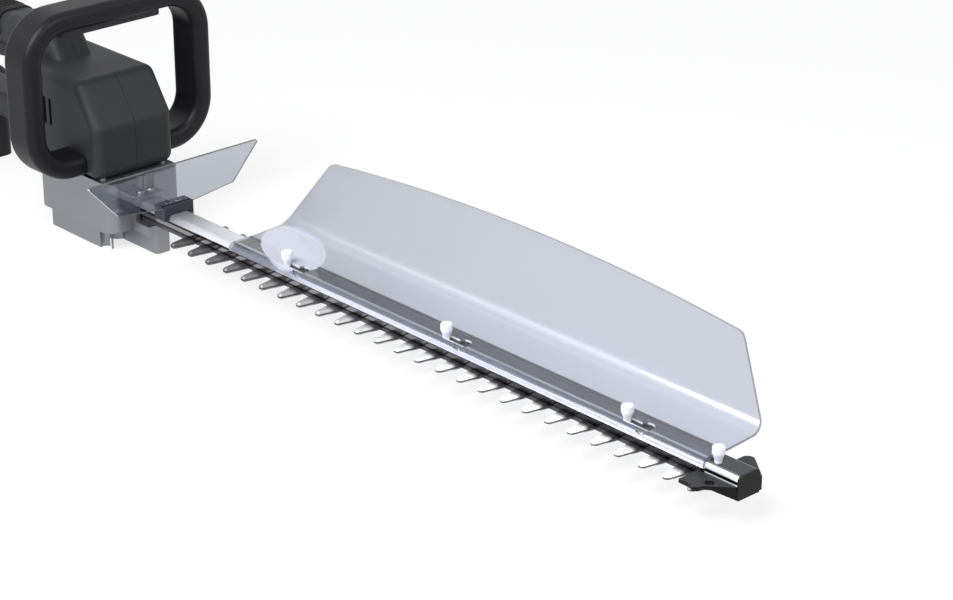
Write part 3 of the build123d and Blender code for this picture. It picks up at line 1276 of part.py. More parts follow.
def battery_tray():
    """Lower half of the battery's case."""
    tray = battery_shell(0, TRAY_HEIGHT, 0, BATTERY_WALL)
    for x, y in battery_screw_places():
        tray -= post(x, y, 0, TRAY_HEIGHT, BATTERY_SCREW_RADIUS)
        tray -= post(x, y, 0, BATTERY_WALL, BATTERY_HEAD_RADIUS)
    button = charge_button_z()
    tray -= rod_x(BATTERY_BACK, BATTERY_BACK + BATTERY_WALL, 0, button, BUTTON_RADIUS + SLIDE_FIT)
    for y in lamp_places():
        tray -= rod_x(BATTERY_BACK, BATTERY_BACK + BATTERY_WALL, y, button, LAMP_RADIUS)
    return tray


def battery_lid():
    """Upper half of the battery's case with the T-shaped rail on top."""
    lid = battery_shell(TRAY_HEIGHT, BATTERY_HEIGHT, BATTERY_HEIGHT - BATTERY_WALL, BATTERY_HEIGHT)
    front = CHANNEL_FRONT - TERMINAL_DEPTH - SLIDE_FIT
    flange = RAIL_TOP - RAIL_FLANGE
    lid += box(BATTERY_BACK, front, -RAIL_NECK, RAIL_NECK, BATTERY_HEIGHT, RAIL_TOP)
    lid += box(BATTERY_BACK, front, -RAIL_HALF_WIDTH, RAIL_HALF_WIDTH, flange, RAIL_TOP)
    z0 = contact_z()[0]
    back = CHANNEL_FRONT - TERMINAL_DEPTH - CONTACT_LENGTH - CONTACT_ROOM
    for side in (-1, 1):
        y = side * CONTACT_SPREAD
        slot = CONTACT_THICKNESS / 2 + 2 * SLIDE_FIT
        lid -= box(back, front, y - slot, y + slot, z0 - CONTACT_ROOM, RAIL_TOP)
        lid -= post(contact_post_x(), y, BATTERY_HEIGHT - BATTERY_WALL, z0, PIN_RADIUS)
    room = LATCH_HALF_WIDTH + SLIDE_FIT
    lid -= box(BATTERY_BACK, latch_x() + LATCH_DEPTH + SLIDE_FIT, -room, room, latch_seat(), RAIL_TOP)
    for x, y in battery_screw_places():
        lid -= post(x, y, TRAY_HEIGHT, BATTERY_HEIGHT - BATTERY_WALL, BATTERY_SCREW_RADIUS)
    return lid


def battery_screw(x, y):
    """Screw up through the tray into the lid."""
    head = post(x, y, SLIDE_FIT, BATTERY_WALL, BATTERY_HEAD_RADIUS)
    return head + post(x, y, BATTERY_WALL, BATTERY_HEIGHT - 2 * BATTERY_WALL, BATTERY_SCREW_RADIUS)


def battery_cells():
    """Round cells lying across the battery in two rows."""
    middle = (BATTERY_BACK + BATTERY_FRONT) / 2
    first = middle - (CELL_COLUMNS - 1) * CELL_PITCH / 2
    cells = []
    for row in range(CELL_ROWS):
        for column in range(CELL_COLUMNS):
            z = BATTERY_WALL + CELL_RADIUS + SEAT_FIT + row * CELL_PITCH
            x = first + column * CELL_PITCH
            cells.append(rod_y(x, -CELL_LENGTH / 2, CELL_LENGTH / 2, z, CELL_RADIUS))
    return group(cells)


def battery_board():
    """Board over the cells with two posts up to the contact slots."""
    z0 = BATTERY_WALL + 2 * SEAT_FIT + 2 * CELL_RADIUS + (CELL_ROWS - 1) * CELL_PITCH
    middle = (BATTERY_BACK + BATTERY_FRONT) / 2
    half = BATTERY_LENGTH / 2 - 6 * BATTERY_WALL
    board = box(middle - half, middle + half, -RAIL_NECK, RAIL_NECK, z0, z0 + BOARD_THICKNESS)
    for side in (-1, 1):
        board += post(contact_post_x(), side * CONTACT_SPREAD, z0, contact_z()[0] - CONTACT_ROOM, PIN_RADIUS)
    return board


def latch_x():
    """Back face of the latch's body inside the battery's rail."""
    return BATTERY_BACK + LATCH_PAD


def latch_seat():
    """Floor of the latch's pocket."""
    return BATTERY_HEIGHT - BATTERY_WALL / 2


def battery_latch():
    """Spring latch with a thumb pad behind and a nose above the rail."""
    low = latch_seat() + LATCH_TRAVEL + 2 * SLIDE_FIT
    half = LATCH_HALF_WIDTH
    latch = box(latch_x(), latch_x() + LATCH_DEPTH, -half, half, low, RAIL_TOP + LATCH_HOOK)
    return latch + box(BATTERY_BACK - LATCH_PAD, latch_x(), -half, half, low, RAIL_TOP - LATCH_PAD_DROP)


def latch_spring():
    """Spring under the latch, as a sleeve of its outer size."""
    x = latch_x() + LATCH_DEPTH / 2
    z0 = latch_seat()
    z1 = z0 + LATCH_TRAVEL + 2 * SLIDE_FIT
    return post(x, 0, z0, z1, LEVER_SPRING_RADIUS) - post(x, 0, z0, z1, LEVER_SPRING_RADIUS - SPRING_WALL)


def charge_button_z():
    """Height of the charge button and lamps."""
    return TRAY_HEIGHT - 2 * BUTTON_RADIUS


def charge_button():
    """Push button that shows the charge, with a flange behind the tray's wall."""
    z = charge_button_z()
    wall = BATTERY_BACK + BATTERY_WALL
    seat = wall + SEAT_FIT
    button = rod_x(BATTERY_BACK - BUTTON_PROUD, seat, 0, z, BUTTON_RADIUS)
    return button + rod_x(seat, seat + BUTTON_FLANGE, 0, z, BUTTON_RADIUS + BUTTON_FLANGE)


def lamp_places():
    """Lamps in a row beside the button."""
    return [-2 * BUTTON_RADIUS - index * LAMP_PITCH for index in range(LAMP_COUNT)]


def charge_lamps():
    """Small light pipes in the tray's wall."""
    z = charge_button_z()
    return group([rod_x(BATTERY_BACK, BATTERY_BACK + BATTERY_WALL, y, z, LAMP_RADIUS) for y in lamp_places()])


# Write every node

save("upper_blade", blade(UPPER_Z))
save("lower_blade", lower_blade())
save("guide_bar", guide_bar())
save("blade_bolts", group([blade_bolt(x) for x in bolt_places()]))
save("blade_spacers", group([blade_spacer(x) for x in bolt_places()]))
save("tip_guard", tip_guard())
save("tip_guard_screw", tip_guard_screw())
save("collector", collector())
save("collector_pegs", group([collector_peg(x) for x in peg_places()]))
save("hand_guard", hand_guard())
save("guard_bracket", guard_bracket())
BRACKET_TIP = BAR_TOP - BAR_SCREW_DEPTH
save("guard_screws", group([down_screw(x, y, BRACKET_TOP, BRACKET_TIP) for x, y in bracket_screw_places()]))
NOSE_HEAD = NOSE_TOP + HEAD_HEIGHT
save("bar_screws", group([down_screw(x, y, NOSE_HEAD, BRACKET_TIP) for x, y in bar_screw_places()]))
save("drive_gear", drive_gear())
save("drive_shaft", drive_shaft())
save("shaft_circlip", shaft_circlip())
save("upper_cam", cam(UPPER_Z, 1))
save("lower_cam", cam(LOWER_Z, -1))
save("upper_gear_bearing", bearing(CHAMBER_TOP))
save("lower_gear_bearing", bearing(BASE_TOP - BEARING_WIDTH))
save("gearbox_case", gearbox_case())
save("gearbox_base", gearbox_base())
save("gearbox_screws", group([gearbox_screw(x, y) for x, y in case_screw_places()]))
save("motor_can", motor_can())
save("motor_magnets", motor_magnets())
save("motor_end_cap", motor_end_cap())
save("motor_brushes", motor_brushes())
save("motor_screws", group([motor_screw(x, y) for x, y in motor_screw_places()]))
save("motor_shaft", motor_shaft())
save("motor_pinion", motor_pinion())
save("armature", armature())
save("commutator", commutator())
save("cooling_fan", cooling_fan())
LOOP = loop_handle()
FRONT_ROOM = box(LOOP_MID_X, LOOP_FRONT, -LOOP_HALF_WIDTH, LOOP_HALF_WIDTH, LOOP_BOTTOM, LOOP_TOP)
save("front_handle_front", LOOP & FRONT_ROOM)
save("front_handle_back", LOOP - FRONT_ROOM)
save("front_handle_screws", group([loop_screw(y, z) for y, z in loop_post_places()]))
save("front_switch_lever", front_switch_lever())
save("lever_springs", lever_springs())
save("front_microswitch", front_microswitch())
HOUSING = housing()
LEFT_ROOM = box(-2 * COLUMN_BACK, COLUMN_BACK, -2 * BODY_HALF_WIDTH, 0, 0, 2 * GRIP_TOP)
save("housing_left", HOUSING & LEFT_ROOM)
save("housing_right", HOUSING - LEFT_ROOM)
save("housing_screws", group([housing_screw(x, z, half) for x, z, half in housing_screw_places()]))
save("rear_grip", rear_grip())
save("rear_trigger", rear_trigger())
save("trigger_pin", trigger_pin())
save("trigger_spring", trigger_spring())
save("rear_microswitch", rear_microswitch())
save("control_board", control_board())
save("terminal_block", terminal_block())
save("terminal_blades", terminal_blades())
save("battery_tray", battery_tray())
save("battery_lid", battery_lid())
save("battery_screws", group([battery_screw(x, y) for x, y in battery_screw_places()]))
save("battery_cells", battery_cells())
save("battery_board", battery_board())
save("battery_latch", battery_latch())
save("latch_spring", latch_spring())
save("charge_button", charge_button())
save("charge_lamps", charge_lamps())
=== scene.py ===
import json
import math

import bmesh
import bpy
from mathutils import Matrix, Vector


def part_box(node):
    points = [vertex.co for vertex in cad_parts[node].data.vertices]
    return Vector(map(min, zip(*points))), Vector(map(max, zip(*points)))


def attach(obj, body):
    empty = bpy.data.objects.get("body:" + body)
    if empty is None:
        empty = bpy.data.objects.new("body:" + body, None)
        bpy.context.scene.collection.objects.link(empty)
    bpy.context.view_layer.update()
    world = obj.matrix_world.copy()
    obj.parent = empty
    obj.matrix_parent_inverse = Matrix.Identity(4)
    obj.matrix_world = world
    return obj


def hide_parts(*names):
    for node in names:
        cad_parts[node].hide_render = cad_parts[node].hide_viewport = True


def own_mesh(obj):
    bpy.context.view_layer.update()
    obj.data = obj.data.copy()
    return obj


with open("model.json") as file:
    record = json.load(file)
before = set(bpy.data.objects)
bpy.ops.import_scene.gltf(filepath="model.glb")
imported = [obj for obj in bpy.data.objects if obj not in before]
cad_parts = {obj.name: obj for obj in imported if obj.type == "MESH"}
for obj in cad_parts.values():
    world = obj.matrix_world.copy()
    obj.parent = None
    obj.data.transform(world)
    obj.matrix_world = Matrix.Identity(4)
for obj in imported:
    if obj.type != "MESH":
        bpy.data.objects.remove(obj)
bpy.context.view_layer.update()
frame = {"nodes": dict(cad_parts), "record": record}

nodes = frame["nodes"]
record = frame["record"]
body_of = {node: body for body, held in record["behaviour"]["bodies"].items() for node in held}
slot_of = {row["node"]: row["material_slot"] for row in record["subparts"]}
MM = 0.001

# Camera, fitted to the tooth tips and the outline of the sheet
CAMERA_PLACE = (1.6322, -1.1173, 0.7950)
CAMERA_RIGHT = (0.6744, 0.7384, 0.0)
CAMERA_UP = (-0.2949, 0.2693, 0.9168)
CAMERA_BACK = (0.6769, -0.6183, 0.3993)
CAMERA_LENS = 103.27
SENSOR_WIDTH = 36.0
VIEW_DEPTH = 50.0

# Floor and light around the object
FLOOR_HALF = 6.0
FLOOR_GLOW = 0.75
SKY_STRENGTH = 0.5
BAR_MIDDLE = (0.35, 0.0, 0.05)
SHEET_MIDDLE = (0.3, 0.04, 0.05)
SHEET_END_FOLD = (0.62, 0.04, 0.05)

# Lamps: name, place, the point it faces, width and height in metres, power in watts
# The two fold lamps draw the bright line along the fold of the sheet
LAMPS = (
    ("key", (0.9, -1.6, 2.2), BAR_MIDDLE, 1.4, 1.4, 50),
    ("fold", (0.10, -0.60, 0.64), SHEET_END_FOLD, 0.44, 0.5, 4.5),
    ("fold_left", (-0.50, -0.60, 0.64), SHEET_MIDDLE, 0.7, 0.2, 0.4),
    ("fill", (2.4, 0.6, 1.6), BAR_MIDDLE, 1.2, 1.2, 20),
)

# Sockets of a Mix node by their places, because its colours and its values have the same names
SHARE = 0
FROM_VALUE = 2
TO_VALUE = 3
FROM = 6
TO = 7

# Settings of the nodes that a finish is mostly made of: a mix of colours, a smooth fade, a band
TINT = {"data_type": "RGBA"}
SMOOTH = {"interpolation_type": "SMOOTHSTEP"}
BAND = {"operation": "COMPARE"}

# Places on the object that a finish follows
SHEET_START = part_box("collector")[0].x
SHEET_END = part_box("collector")[1].x
BAR_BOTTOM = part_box("guide_bar")[0].z
BAR_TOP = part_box("guide_bar")[1].z
BAR_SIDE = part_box("guide_bar")[1].y
BLADE_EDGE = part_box("upper_blade")[1].y
LOOP_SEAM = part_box("front_handle_back")[1].x

# Which way a surface faces, from its normal: a limit, then fades and a band
FACES = 0.5
FACES_UP = {**SMOOTH, "From Min": 0.3, "From Max": 0.8}
NEAR_LEVEL = {**SMOOTH, "From Min": 0.85, "From Max": 0.95}
LEVEL = {**SMOOTH, "From Min": 0.95, "From Max": 0.99}
STEEP = {**SMOOTH, "From Min": 0.6, "From Max": 0.4}
UPRIGHT = {**BAND, 1: 0.0, 2: 0.3}

# Plastic: width of its clouds in mm, height of its grain, spread of its gloss, its parting line
CLOUD_WIDTH = 40
GRAIN_HEIGHT = 0.1 * MM
GRAIN_SPREAD = 0.08
SEAM_HALF = 0.25 * MM
SEAM_DEPTH = 4.0

# Metal: height of its lines, spread of its gloss below and above the middle
LINE_HEIGHT = 0.05 * MM
LINE_SPREAD = (0.06, 0.08)

# Clear sheet: refraction, roughness where polished and where cut or matt, width of its waves in mm
SHEET_IOR = 1.58
POLISHED = 0.03
MATT_ROUGHNESS = 0.5
WAVE_WIDTH = 60

# Collector: its underside's mist, its foot over the bar, its keyholes, its crest and the matt patch of
# painted reflection
SHEET_MIST = 0.45
PRESSED_ON_BAR = {**SMOOTH, "From Min": BAR_SIDE, "From Max": BAR_SIDE - 2.0 * MM}
SHADE_AT_BAR_EDGE = {**BAND, 1: BAR_SIDE - 1.5 * MM, 2: 1.5 * MM}
KEYHOLE_LEVEL = {**BAND, 1: BAR_TOP + 1 * MM, 2: 1 * MM}
CREST_LEVEL = 55.0 * MM
CREST_FACES = 0.6
GLARE_MIDDLE = (195.0 * MM, 16.0 * MM)
GLARE_HALF = (43.0 * MM, 22.0 * MM)
GLARE_TURN = -23.3
GLARE_OUTLINE = {**SMOOTH, "From Min": 1.0, "From Max": 0.93}
GLARE_BELOW = {**SMOOTH, "From Min": BAR_TOP + 4 * MM, "From Max": BAR_TOP + 3 * MM}

# Blades: grinding lines in mm, drawn out across them; the stretch of painted reflection; how far out oil and
# painted shade reach
GRIND_LINE = 0.4
GRIND_SQUEEZE = 0.05
BLADE_REFLECTION_FADE = {**SMOOTH, "From Min": 0.10, "From Max": 0.50}
BLADE_OIL_AND_SHADE = {**SMOOTH, "From Min": 0.68 * BLADE_EDGE, "From Max": 0.45 * BLADE_EDGE}

# Guide bar along its length: drawn lines in mm, drawn out; what begins or ends before and under the sheet
DRAWN_LINE = 0.3
DRAWN_SQUEEZE = 0.03
UNDER_SHEET = {**BAND, 1: (SHEET_START + SHEET_END) / 2, 2: (SHEET_END - SHEET_START) / 2}
BARE_LIT = {**SMOOTH, "From Min": SHEET_START - 80 * MM, "From Max": SHEET_START - 30 * MM}
SHEET_BEGINS = {**SMOOTH, "From Min": SHEET_START - 1 * MM, "From Max": SHEET_START + 4 * MM}
EDGE_SHINES = {**SMOOTH, "From Min": SHEET_START + 40 * MM, "From Max": SHEET_START + 110 * MM}
SIDE_DARKENS = {**SMOOTH, "From Min": SHEET_START + 110 * MM, "From Max": SHEET_START + 360 * MM}

# Guide bar in section: the painted highlight line on its top where the sheet sits, and the bands up its
# side, painted shade and highlights among them
SEAT_HIGHLIGHT_LINE = {**BAND, 1: -5.2 * MM, 2: 0.9 * MM}
ABOVE_FOOT = {**SMOOTH, "From Min": BAR_BOTTOM + 0.8 * MM, "From Max": BAR_BOTTOM + 1.8 * MM}
TIP_HIGHLIGHT_LINE = {**BAND, 1: BAR_BOTTOM + 3.5 * MM, 2: 0.5 * MM}
CREASE_SHADE = {**BAND, 1: BAR_BOTTOM + 5.2 * MM, 2: 0.8 * MM}
EDGE_HIGHLIGHT_FROM = {FROM_VALUE: BAR_BOTTOM + 6.0 * MM, TO_VALUE: BAR_BOTTOM + 5.0 * MM}
EDGE_HIGHLIGHT_FADE = {**SMOOTH, "From Max": 0.5 * MM}
SHOULDER_TILT = {FROM_VALUE: 0.8, TO_VALUE: 0.55}
SHOULDER_FADE = {**SMOOTH, "From Min": -0.05, "From Max": 0.05}


def srgb(code):
    """Linear colour with alpha from an sRGB hex value."""
    parts = [int(code[place:place + 2], 16) / 255 for place in (0, 2, 4)]
    return [part / 12.92 if part <= 0.04045 else ((part + 0.055) / 1.055) ** 2.4 for part in parts] + [1.0]


def per_mm(width):
    """Noise scale at which one grain is about this many millimetres wide."""
    return 1 / (width * MM)


def add(tree, kind, settings=None, links=None):
    """Adds a node: settings go to its properties and sockets, links to the sockets that other nodes feed.

    A number names a socket by its place. A node given as a source feeds from its first enabled output.
    """
    made = tree.nodes.new(kind)
    for name, value in (settings or {}).items():
        if isinstance(name, str) and name not in made.inputs:
            setattr(made, name, value)
    for name, value in (settings or {}).items():
        if isinstance(name, int) or name in made.inputs:
            made.inputs[name].default_value = value
    for name, sources in (links or {}).items():
        for source in sources if isinstance(sources, list) else [sources]:
            if isinstance(source, bpy.types.Node):
                source = next(socket for socket in source.outputs if socket.enabled)
            tree.links.new(source, made.inputs[name])
    return made


def new_finish(name):
    """An empty node material, its tree, and the Object coordinates that its patterns follow."""
    material = bpy.data.materials.new(name)
    material.use_nodes = True
    material.node_tree.nodes.clear()
    place = add(material.node_tree, "ShaderNodeTexCoord").outputs["Object"]
    return material, material.node_tree, place


# Materials


def grained_plastic(name, colour, shade, roughness, grain, depth, seam=None, painted_sheen=None):
    """Moulded plastic with a spark-eroded grain: a soft sheen broken up by pits.

    A seam is a dark parting line at a place on an axis, and a painted sheen colour shows where the surface
    faces up.
    """
    material, tree, place = new_finish(name)
    pits = add(tree, "ShaderNodeTexNoise", {"Scale": per_mm(grain), "Detail": 3.0}, {"Vector": place})
    cloud = add(tree, "ShaderNodeTexNoise", {"Scale": per_mm(CLOUD_WIDTH), "Detail": 2.0}, {"Vector": place})
    tint = add(tree, "ShaderNodeMix", {**TINT, FROM: srgb(colour), TO: srgb(shade)}, {SHARE: cloud})
    gloss = add(tree, "ShaderNodeMapRange", {
        "To Min": roughness - GRAIN_SPREAD, "To Max": roughness + GRAIN_SPREAD}, {"Value": pits})
    height = pits
    if seam:
        axis, middle = seam
        along = add(tree, "ShaderNodeSeparateXYZ", {}, {"Vector": place}).outputs[axis]
        apart = add(tree, "ShaderNodeMath", {**BAND, 1: middle, 2: SEAM_HALF}, {0: along})
        tint = add(tree, "ShaderNodeMix", {**TINT, TO: srgb("08080a")}, {SHARE: apart, FROM: tint})
        height = add(tree, "ShaderNodeMath", {
            "operation": "MULTIPLY_ADD", 1: -SEAM_DEPTH}, {0: apart, 2: pits})
    # Painted sheen: faces that look up get a lighter colour
    if painted_sheen:
        normal = add(tree, "ShaderNodeNewGeometry").outputs["Normal"]
        up = add(tree, "ShaderNodeSeparateXYZ", {}, {"Vector": normal}).outputs["Z"]
        sheen_share = add(tree, "ShaderNodeMapRange", FACES_UP, {"Value": up})
        tint = add(tree, "ShaderNodeMix", {**TINT, TO: srgb(painted_sheen)}, {SHARE: sheen_share, FROM: tint})
    bump = add(tree, "ShaderNodeBump", {"Strength": depth, "Distance": GRAIN_HEIGHT}, {"Height": height})
    shader = add(tree, "ShaderNodeBsdfPrincipled", {"IOR": 1.5, "Specular IOR Level": 0.2}, {
        "Base Color": tint, "Roughness": gloss, "Normal": bump})
    add(tree, "ShaderNodeOutputMaterial", {}, {"Surface": shader})
    return material


def let_light_pass(tree, shader):
    """Ends a clear finish: lamps shine through it with a faint tint, so that it casts only a pale shadow."""
    clear = add(tree, "ShaderNodeBsdfTransparent", {"Color": srgb("e6e7ee")})
    shadow = add(tree, "ShaderNodeLightPath").outputs["Is Shadow Ray"]
    both = add(tree, "ShaderNodeMixShader", {}, {0: shadow, 1: shader, 2: clear})
    add(tree, "ShaderNodeOutputMaterial", {}, {"Surface": both})


def clear_guard(name):
    """Clear polycarbonate plate with a cold tint: crisp reflections, pale sawn edges, a dark upper edge."""
    material, tree, place = new_finish(name)
    normal = add(tree, "ShaderNodeNewGeometry").outputs["Normal"]
    facing = add(tree, "ShaderNodeSeparateXYZ", {}, {"Vector": normal}).outputs
    endways = add(tree, "ShaderNodeMath", {"operation": "ABSOLUTE"}, {0: facing["X"]})
    cut = add(tree, "ShaderNodeMath", {"operation": "LESS_THAN", 1: FACES}, {0: endways})
    upper = add(tree, "ShaderNodeMath", {"operation": "GREATER_THAN", 1: FACES}, {0: facing["Z"]})
    sawn = add(tree, "ShaderNodeMix", {**TINT, FROM: srgb("c4c6d4"), TO: srgb("5a5859")}, {SHARE: upper})
    tint = add(tree, "ShaderNodeMix", {**TINT, FROM: srgb("bdc1ca")}, {SHARE: cut, TO: sawn})
    through = add(tree, "ShaderNodeMapRange", {"To Min": 1.0, "To Max": 0.1}, {"Value": cut})
    rough = add(tree, "ShaderNodeMapRange", {"To Min": POLISHED, "To Max": MATT_ROUGHNESS}, {"Value": cut})
    wave = add(tree, "ShaderNodeTexNoise", {"Scale": per_mm(WAVE_WIDTH)}, {"Vector": place})
    bump = add(tree, "ShaderNodeBump", {"Strength": 0.05, "Distance": GRAIN_HEIGHT}, {"Height": wave})
    shader = add(tree, "ShaderNodeBsdfPrincipled", {"IOR": SHEET_IOR}, {
        "Base Color": tint, "Roughness": rough, "Transmission Weight": through, "Normal": bump})
    let_light_pass(tree, shader)
    return material


def collector_sheet(name):
    """Polycarbonate sheet, glossy above and misted below, but clear where it is pressed on the bar.

    Its cut edges are grey, its keyhole rims carry a painted highlight, and a matt patch of painted
    reflection covers its inner end.
    """
    material, tree, place = new_finish(name)
    axes = add(tree, "ShaderNodeSeparateXYZ", {}, {"Vector": place}).outputs
    normal = add(tree, "ShaderNodeNewGeometry").outputs["Normal"]
    facing = add(tree, "ShaderNodeSeparateXYZ", {}, {"Vector": normal}).outputs
    endways = add(tree, "ShaderNodeMath", {"operation": "ABSOLUTE"}, {0: facing["X"]})
    upward = add(tree, "ShaderNodeMath", {"operation": "ABSOLUTE"}, {0: facing["Z"]})

    # Clear over the bar, with a strip of painted shade in the gap at the bar's far edge
    on_bar = add(tree, "ShaderNodeMapRange", PRESSED_ON_BAR, {"Value": axes["Y"]})
    gap_shade = add(tree, "ShaderNodeMath", SHADE_AT_BAR_EDGE, {0: axes["Y"]})

    # Walls of the keyholes, which stand upright in the foot of the sheet, carry a painted highlight
    upright = add(tree, "ShaderNodeMapRange", STEEP, {"Value": upward})
    seated = add(tree, "ShaderNodeMath", KEYHOLE_LEVEL, {0: axes["Z"]})
    rim = add(tree, "ShaderNodeMath", {"operation": "MULTIPLY"}, {0: upright, 1: seated})

    # Matt patch of painted reflection: an oval on the foot only
    patch = add(tree, "ShaderNodeMapping", {
        "vector_type": "TEXTURE", "Location": (*GLARE_MIDDLE, 0), "Rotation": (0, 0, math.radians(GLARE_TURN)),
        "Scale": (*GLARE_HALF, 1)}, {"Vector": place})
    flat = add(tree, "ShaderNodeVectorMath", {"operation": "MULTIPLY", 1: (1, 1, 0)}, {0: patch})
    reach = add(tree, "ShaderNodeVectorMath", {"operation": "LENGTH"}, {0: flat})
    oval = add(tree, "ShaderNodeMapRange", GLARE_OUTLINE, {"Value": reach})
    low = add(tree, "ShaderNodeMapRange", GLARE_BELOW, {"Value": axes["Z"]})
    matt = add(tree, "ShaderNodeMath", {"operation": "MULTIPLY"}, {0: oval, 1: low})

    # Cut edges along the crest and at both ends
    crest = add(tree, "ShaderNodeMath", {"operation": "GREATER_THAN", 1: CREST_LEVEL}, {0: axes["Z"]})
    level = add(tree, "ShaderNodeMath", {"operation": "GREATER_THAN", 1: CREST_FACES}, {0: upward})
    top = add(tree, "ShaderNodeMath", {"operation": "MULTIPLY"}, {0: crest, 1: level})
    ends = add(tree, "ShaderNodeMath", {"operation": "GREATER_THAN", 1: FACES}, {0: endways})
    cut = add(tree, "ShaderNodeMath", {"operation": "MAXIMUM"}, {0: top, 1: ends})

    # Painted light: the level foot of the sheet is tinted lighter than its tilted panel
    foot = add(tree, "ShaderNodeMapRange", NEAR_LEVEL, {"Value": upward})
    tint = add(tree, "ShaderNodeMix", {**TINT, FROM: srgb("c2c7d2"), TO: srgb("ced3de")}, {SHARE: foot})
    # Layers: clear over the bar, painted shade in the gap, the painted reflection patch, painted highlights
    # on the keyhole rims, grey cut edges
    layers = ((on_bar, "dcdee3"), (gap_shade, "3c3d42"), (matt, "b4b8c3"), (rim, "f0f2f6"), (cut, "7a7c84"))
    for share, colour in layers:
        tint = add(tree, "ShaderNodeMix", {**TINT, TO: srgb(colour)}, {SHARE: share, FROM: tint})
    painted_glare = add(tree, "ShaderNodeMath", {"operation": "MAXIMUM"}, {0: matt, 1: rim})
    solid = add(tree, "ShaderNodeMath", {"operation": "MAXIMUM"}, {0: painted_glare, 1: cut})
    through = add(tree, "ShaderNodeMapRange", {"To Min": 1.0, "To Max": 0.15}, {"Value": solid})
    mist = add(tree, "ShaderNodeMix", {FROM_VALUE: SHEET_MIST, TO_VALUE: POLISHED}, {SHARE: on_bar})
    rough = add(tree, "ShaderNodeMix", {TO_VALUE: MATT_ROUGHNESS}, {SHARE: solid, FROM_VALUE: mist})
    gloss = add(tree, "ShaderNodeMix", {FROM_VALUE: 1.0, TO_VALUE: 0.1}, {SHARE: on_bar})
    mirror = add(tree, "ShaderNodeMix", {**TINT, FROM: srgb("ffffff"), TO: srgb("606060")}, {SHARE: on_bar})
    shader = add(tree, "ShaderNodeBsdfPrincipled", {"IOR": SHEET_IOR, "Coat Roughness": POLISHED}, {
        "Base Color": tint, "Roughness": rough, "Transmission Weight": through, "Coat Weight": gloss,
        "Specular Tint": mirror})
    let_light_pass(tree, shader)
    return material


def brushed_metal(name, colour, roughness, line, stretch):
    """Metal with fine lines along X, left by drawing or turning."""
    material, tree, place = new_finish(name)
    long = add(tree, "ShaderNodeMapping", {"Scale": (1 / stretch, 1, 1)}, {"Vector": place})
    lines = add(tree, "ShaderNodeTexNoise", {"Scale": per_mm(line), "Detail": 2.0}, {"Vector": long})
    gloss = add(tree, "ShaderNodeMapRange", {
        "To Min": roughness - LINE_SPREAD[0], "To Max": roughness + LINE_SPREAD[1]}, {"Value": lines})
    bump = add(tree, "ShaderNodeBump", {"Strength": 0.15, "Distance": LINE_HEIGHT}, {"Height": lines})
    shader = add(tree, "ShaderNodeBsdfPrincipled", {"Metallic": 1.0, "Base Color": srgb(colour)}, {
        "Roughness": gloss, "Normal": bump})
    add(tree, "ShaderNodeOutputMaterial", {}, {"Surface": shader})
    return material


def blade_steel(name):
    """Ground spring steel: pale faces with lines across them, dark shearing lands in painted shade,
    oil film and painted shade at the roots.

    The faces carry a painted reflection that brightens towards the tip of the bar.
    """
    material, tree, place = new_finish(name)
    across = add(tree, "ShaderNodeMapping", {"Scale": (1, GRIND_SQUEEZE, 1)}, {"Vector": place})
    lines = add(tree, "ShaderNodeTexNoise", {"Scale": per_mm(GRIND_LINE), "Detail": 2.0}, {"Vector": across})
    axes = add(tree, "ShaderNodeSeparateXYZ", {}, {"Vector": place}).outputs
    normal = add(tree, "ShaderNodeNewGeometry").outputs["Normal"]
    facing = add(tree, "ShaderNodeSeparateXYZ", {}, {"Vector": normal}).outputs
    tilt = add(tree, "ShaderNodeMath", {"operation": "ABSOLUTE"}, {0: facing["Z"]})
    out = add(tree, "ShaderNodeMath", {"operation": "ABSOLUTE"}, {0: axes["Y"]})
    # Painted reflection: the faces go from dark to pale towards the tip
    painted_sheen = add(tree, "ShaderNodeMapRange", BLADE_REFLECTION_FADE, {"Value": axes["X"]})
    face = add(tree, "ShaderNodeMix", {**TINT, FROM: srgb("4c4a4b"), TO: srgb("f2f3f6")}, {SHARE: painted_sheen})
    # Oil film and painted shade from the bar darken the roots
    oil_and_shade = add(tree, "ShaderNodeMapRange", BLADE_OIL_AND_SHADE, {"Value": out})
    face = add(tree, "ShaderNodeMix", {**TINT, TO: srgb("3a3738")}, {SHARE: oil_and_shade, FROM: face})
    # Painted shade on the steep sides of the teeth
    shaded_land = add(tree, "ShaderNodeMapRange", STEEP, {"Value": tilt})
    tint = add(tree, "ShaderNodeMix", {**TINT, TO: srgb("47464a")}, {SHARE: shaded_land, FROM: face})
    gloss = add(tree, "ShaderNodeMapRange", {"To Min": 0.25, "To Max": 0.42}, {"Value": lines})
    bump = add(tree, "ShaderNodeBump", {"Strength": 0.12, "Distance": LINE_HEIGHT}, {"Height": lines})
    shader = add(tree, "ShaderNodeBsdfPrincipled", {"Metallic": 0.35}, {
        "Base Color": tint, "Roughness": gloss, "Normal": bump})
    add(tree, "ShaderNodeOutputMaterial", {}, {"Surface": shader})
    return material


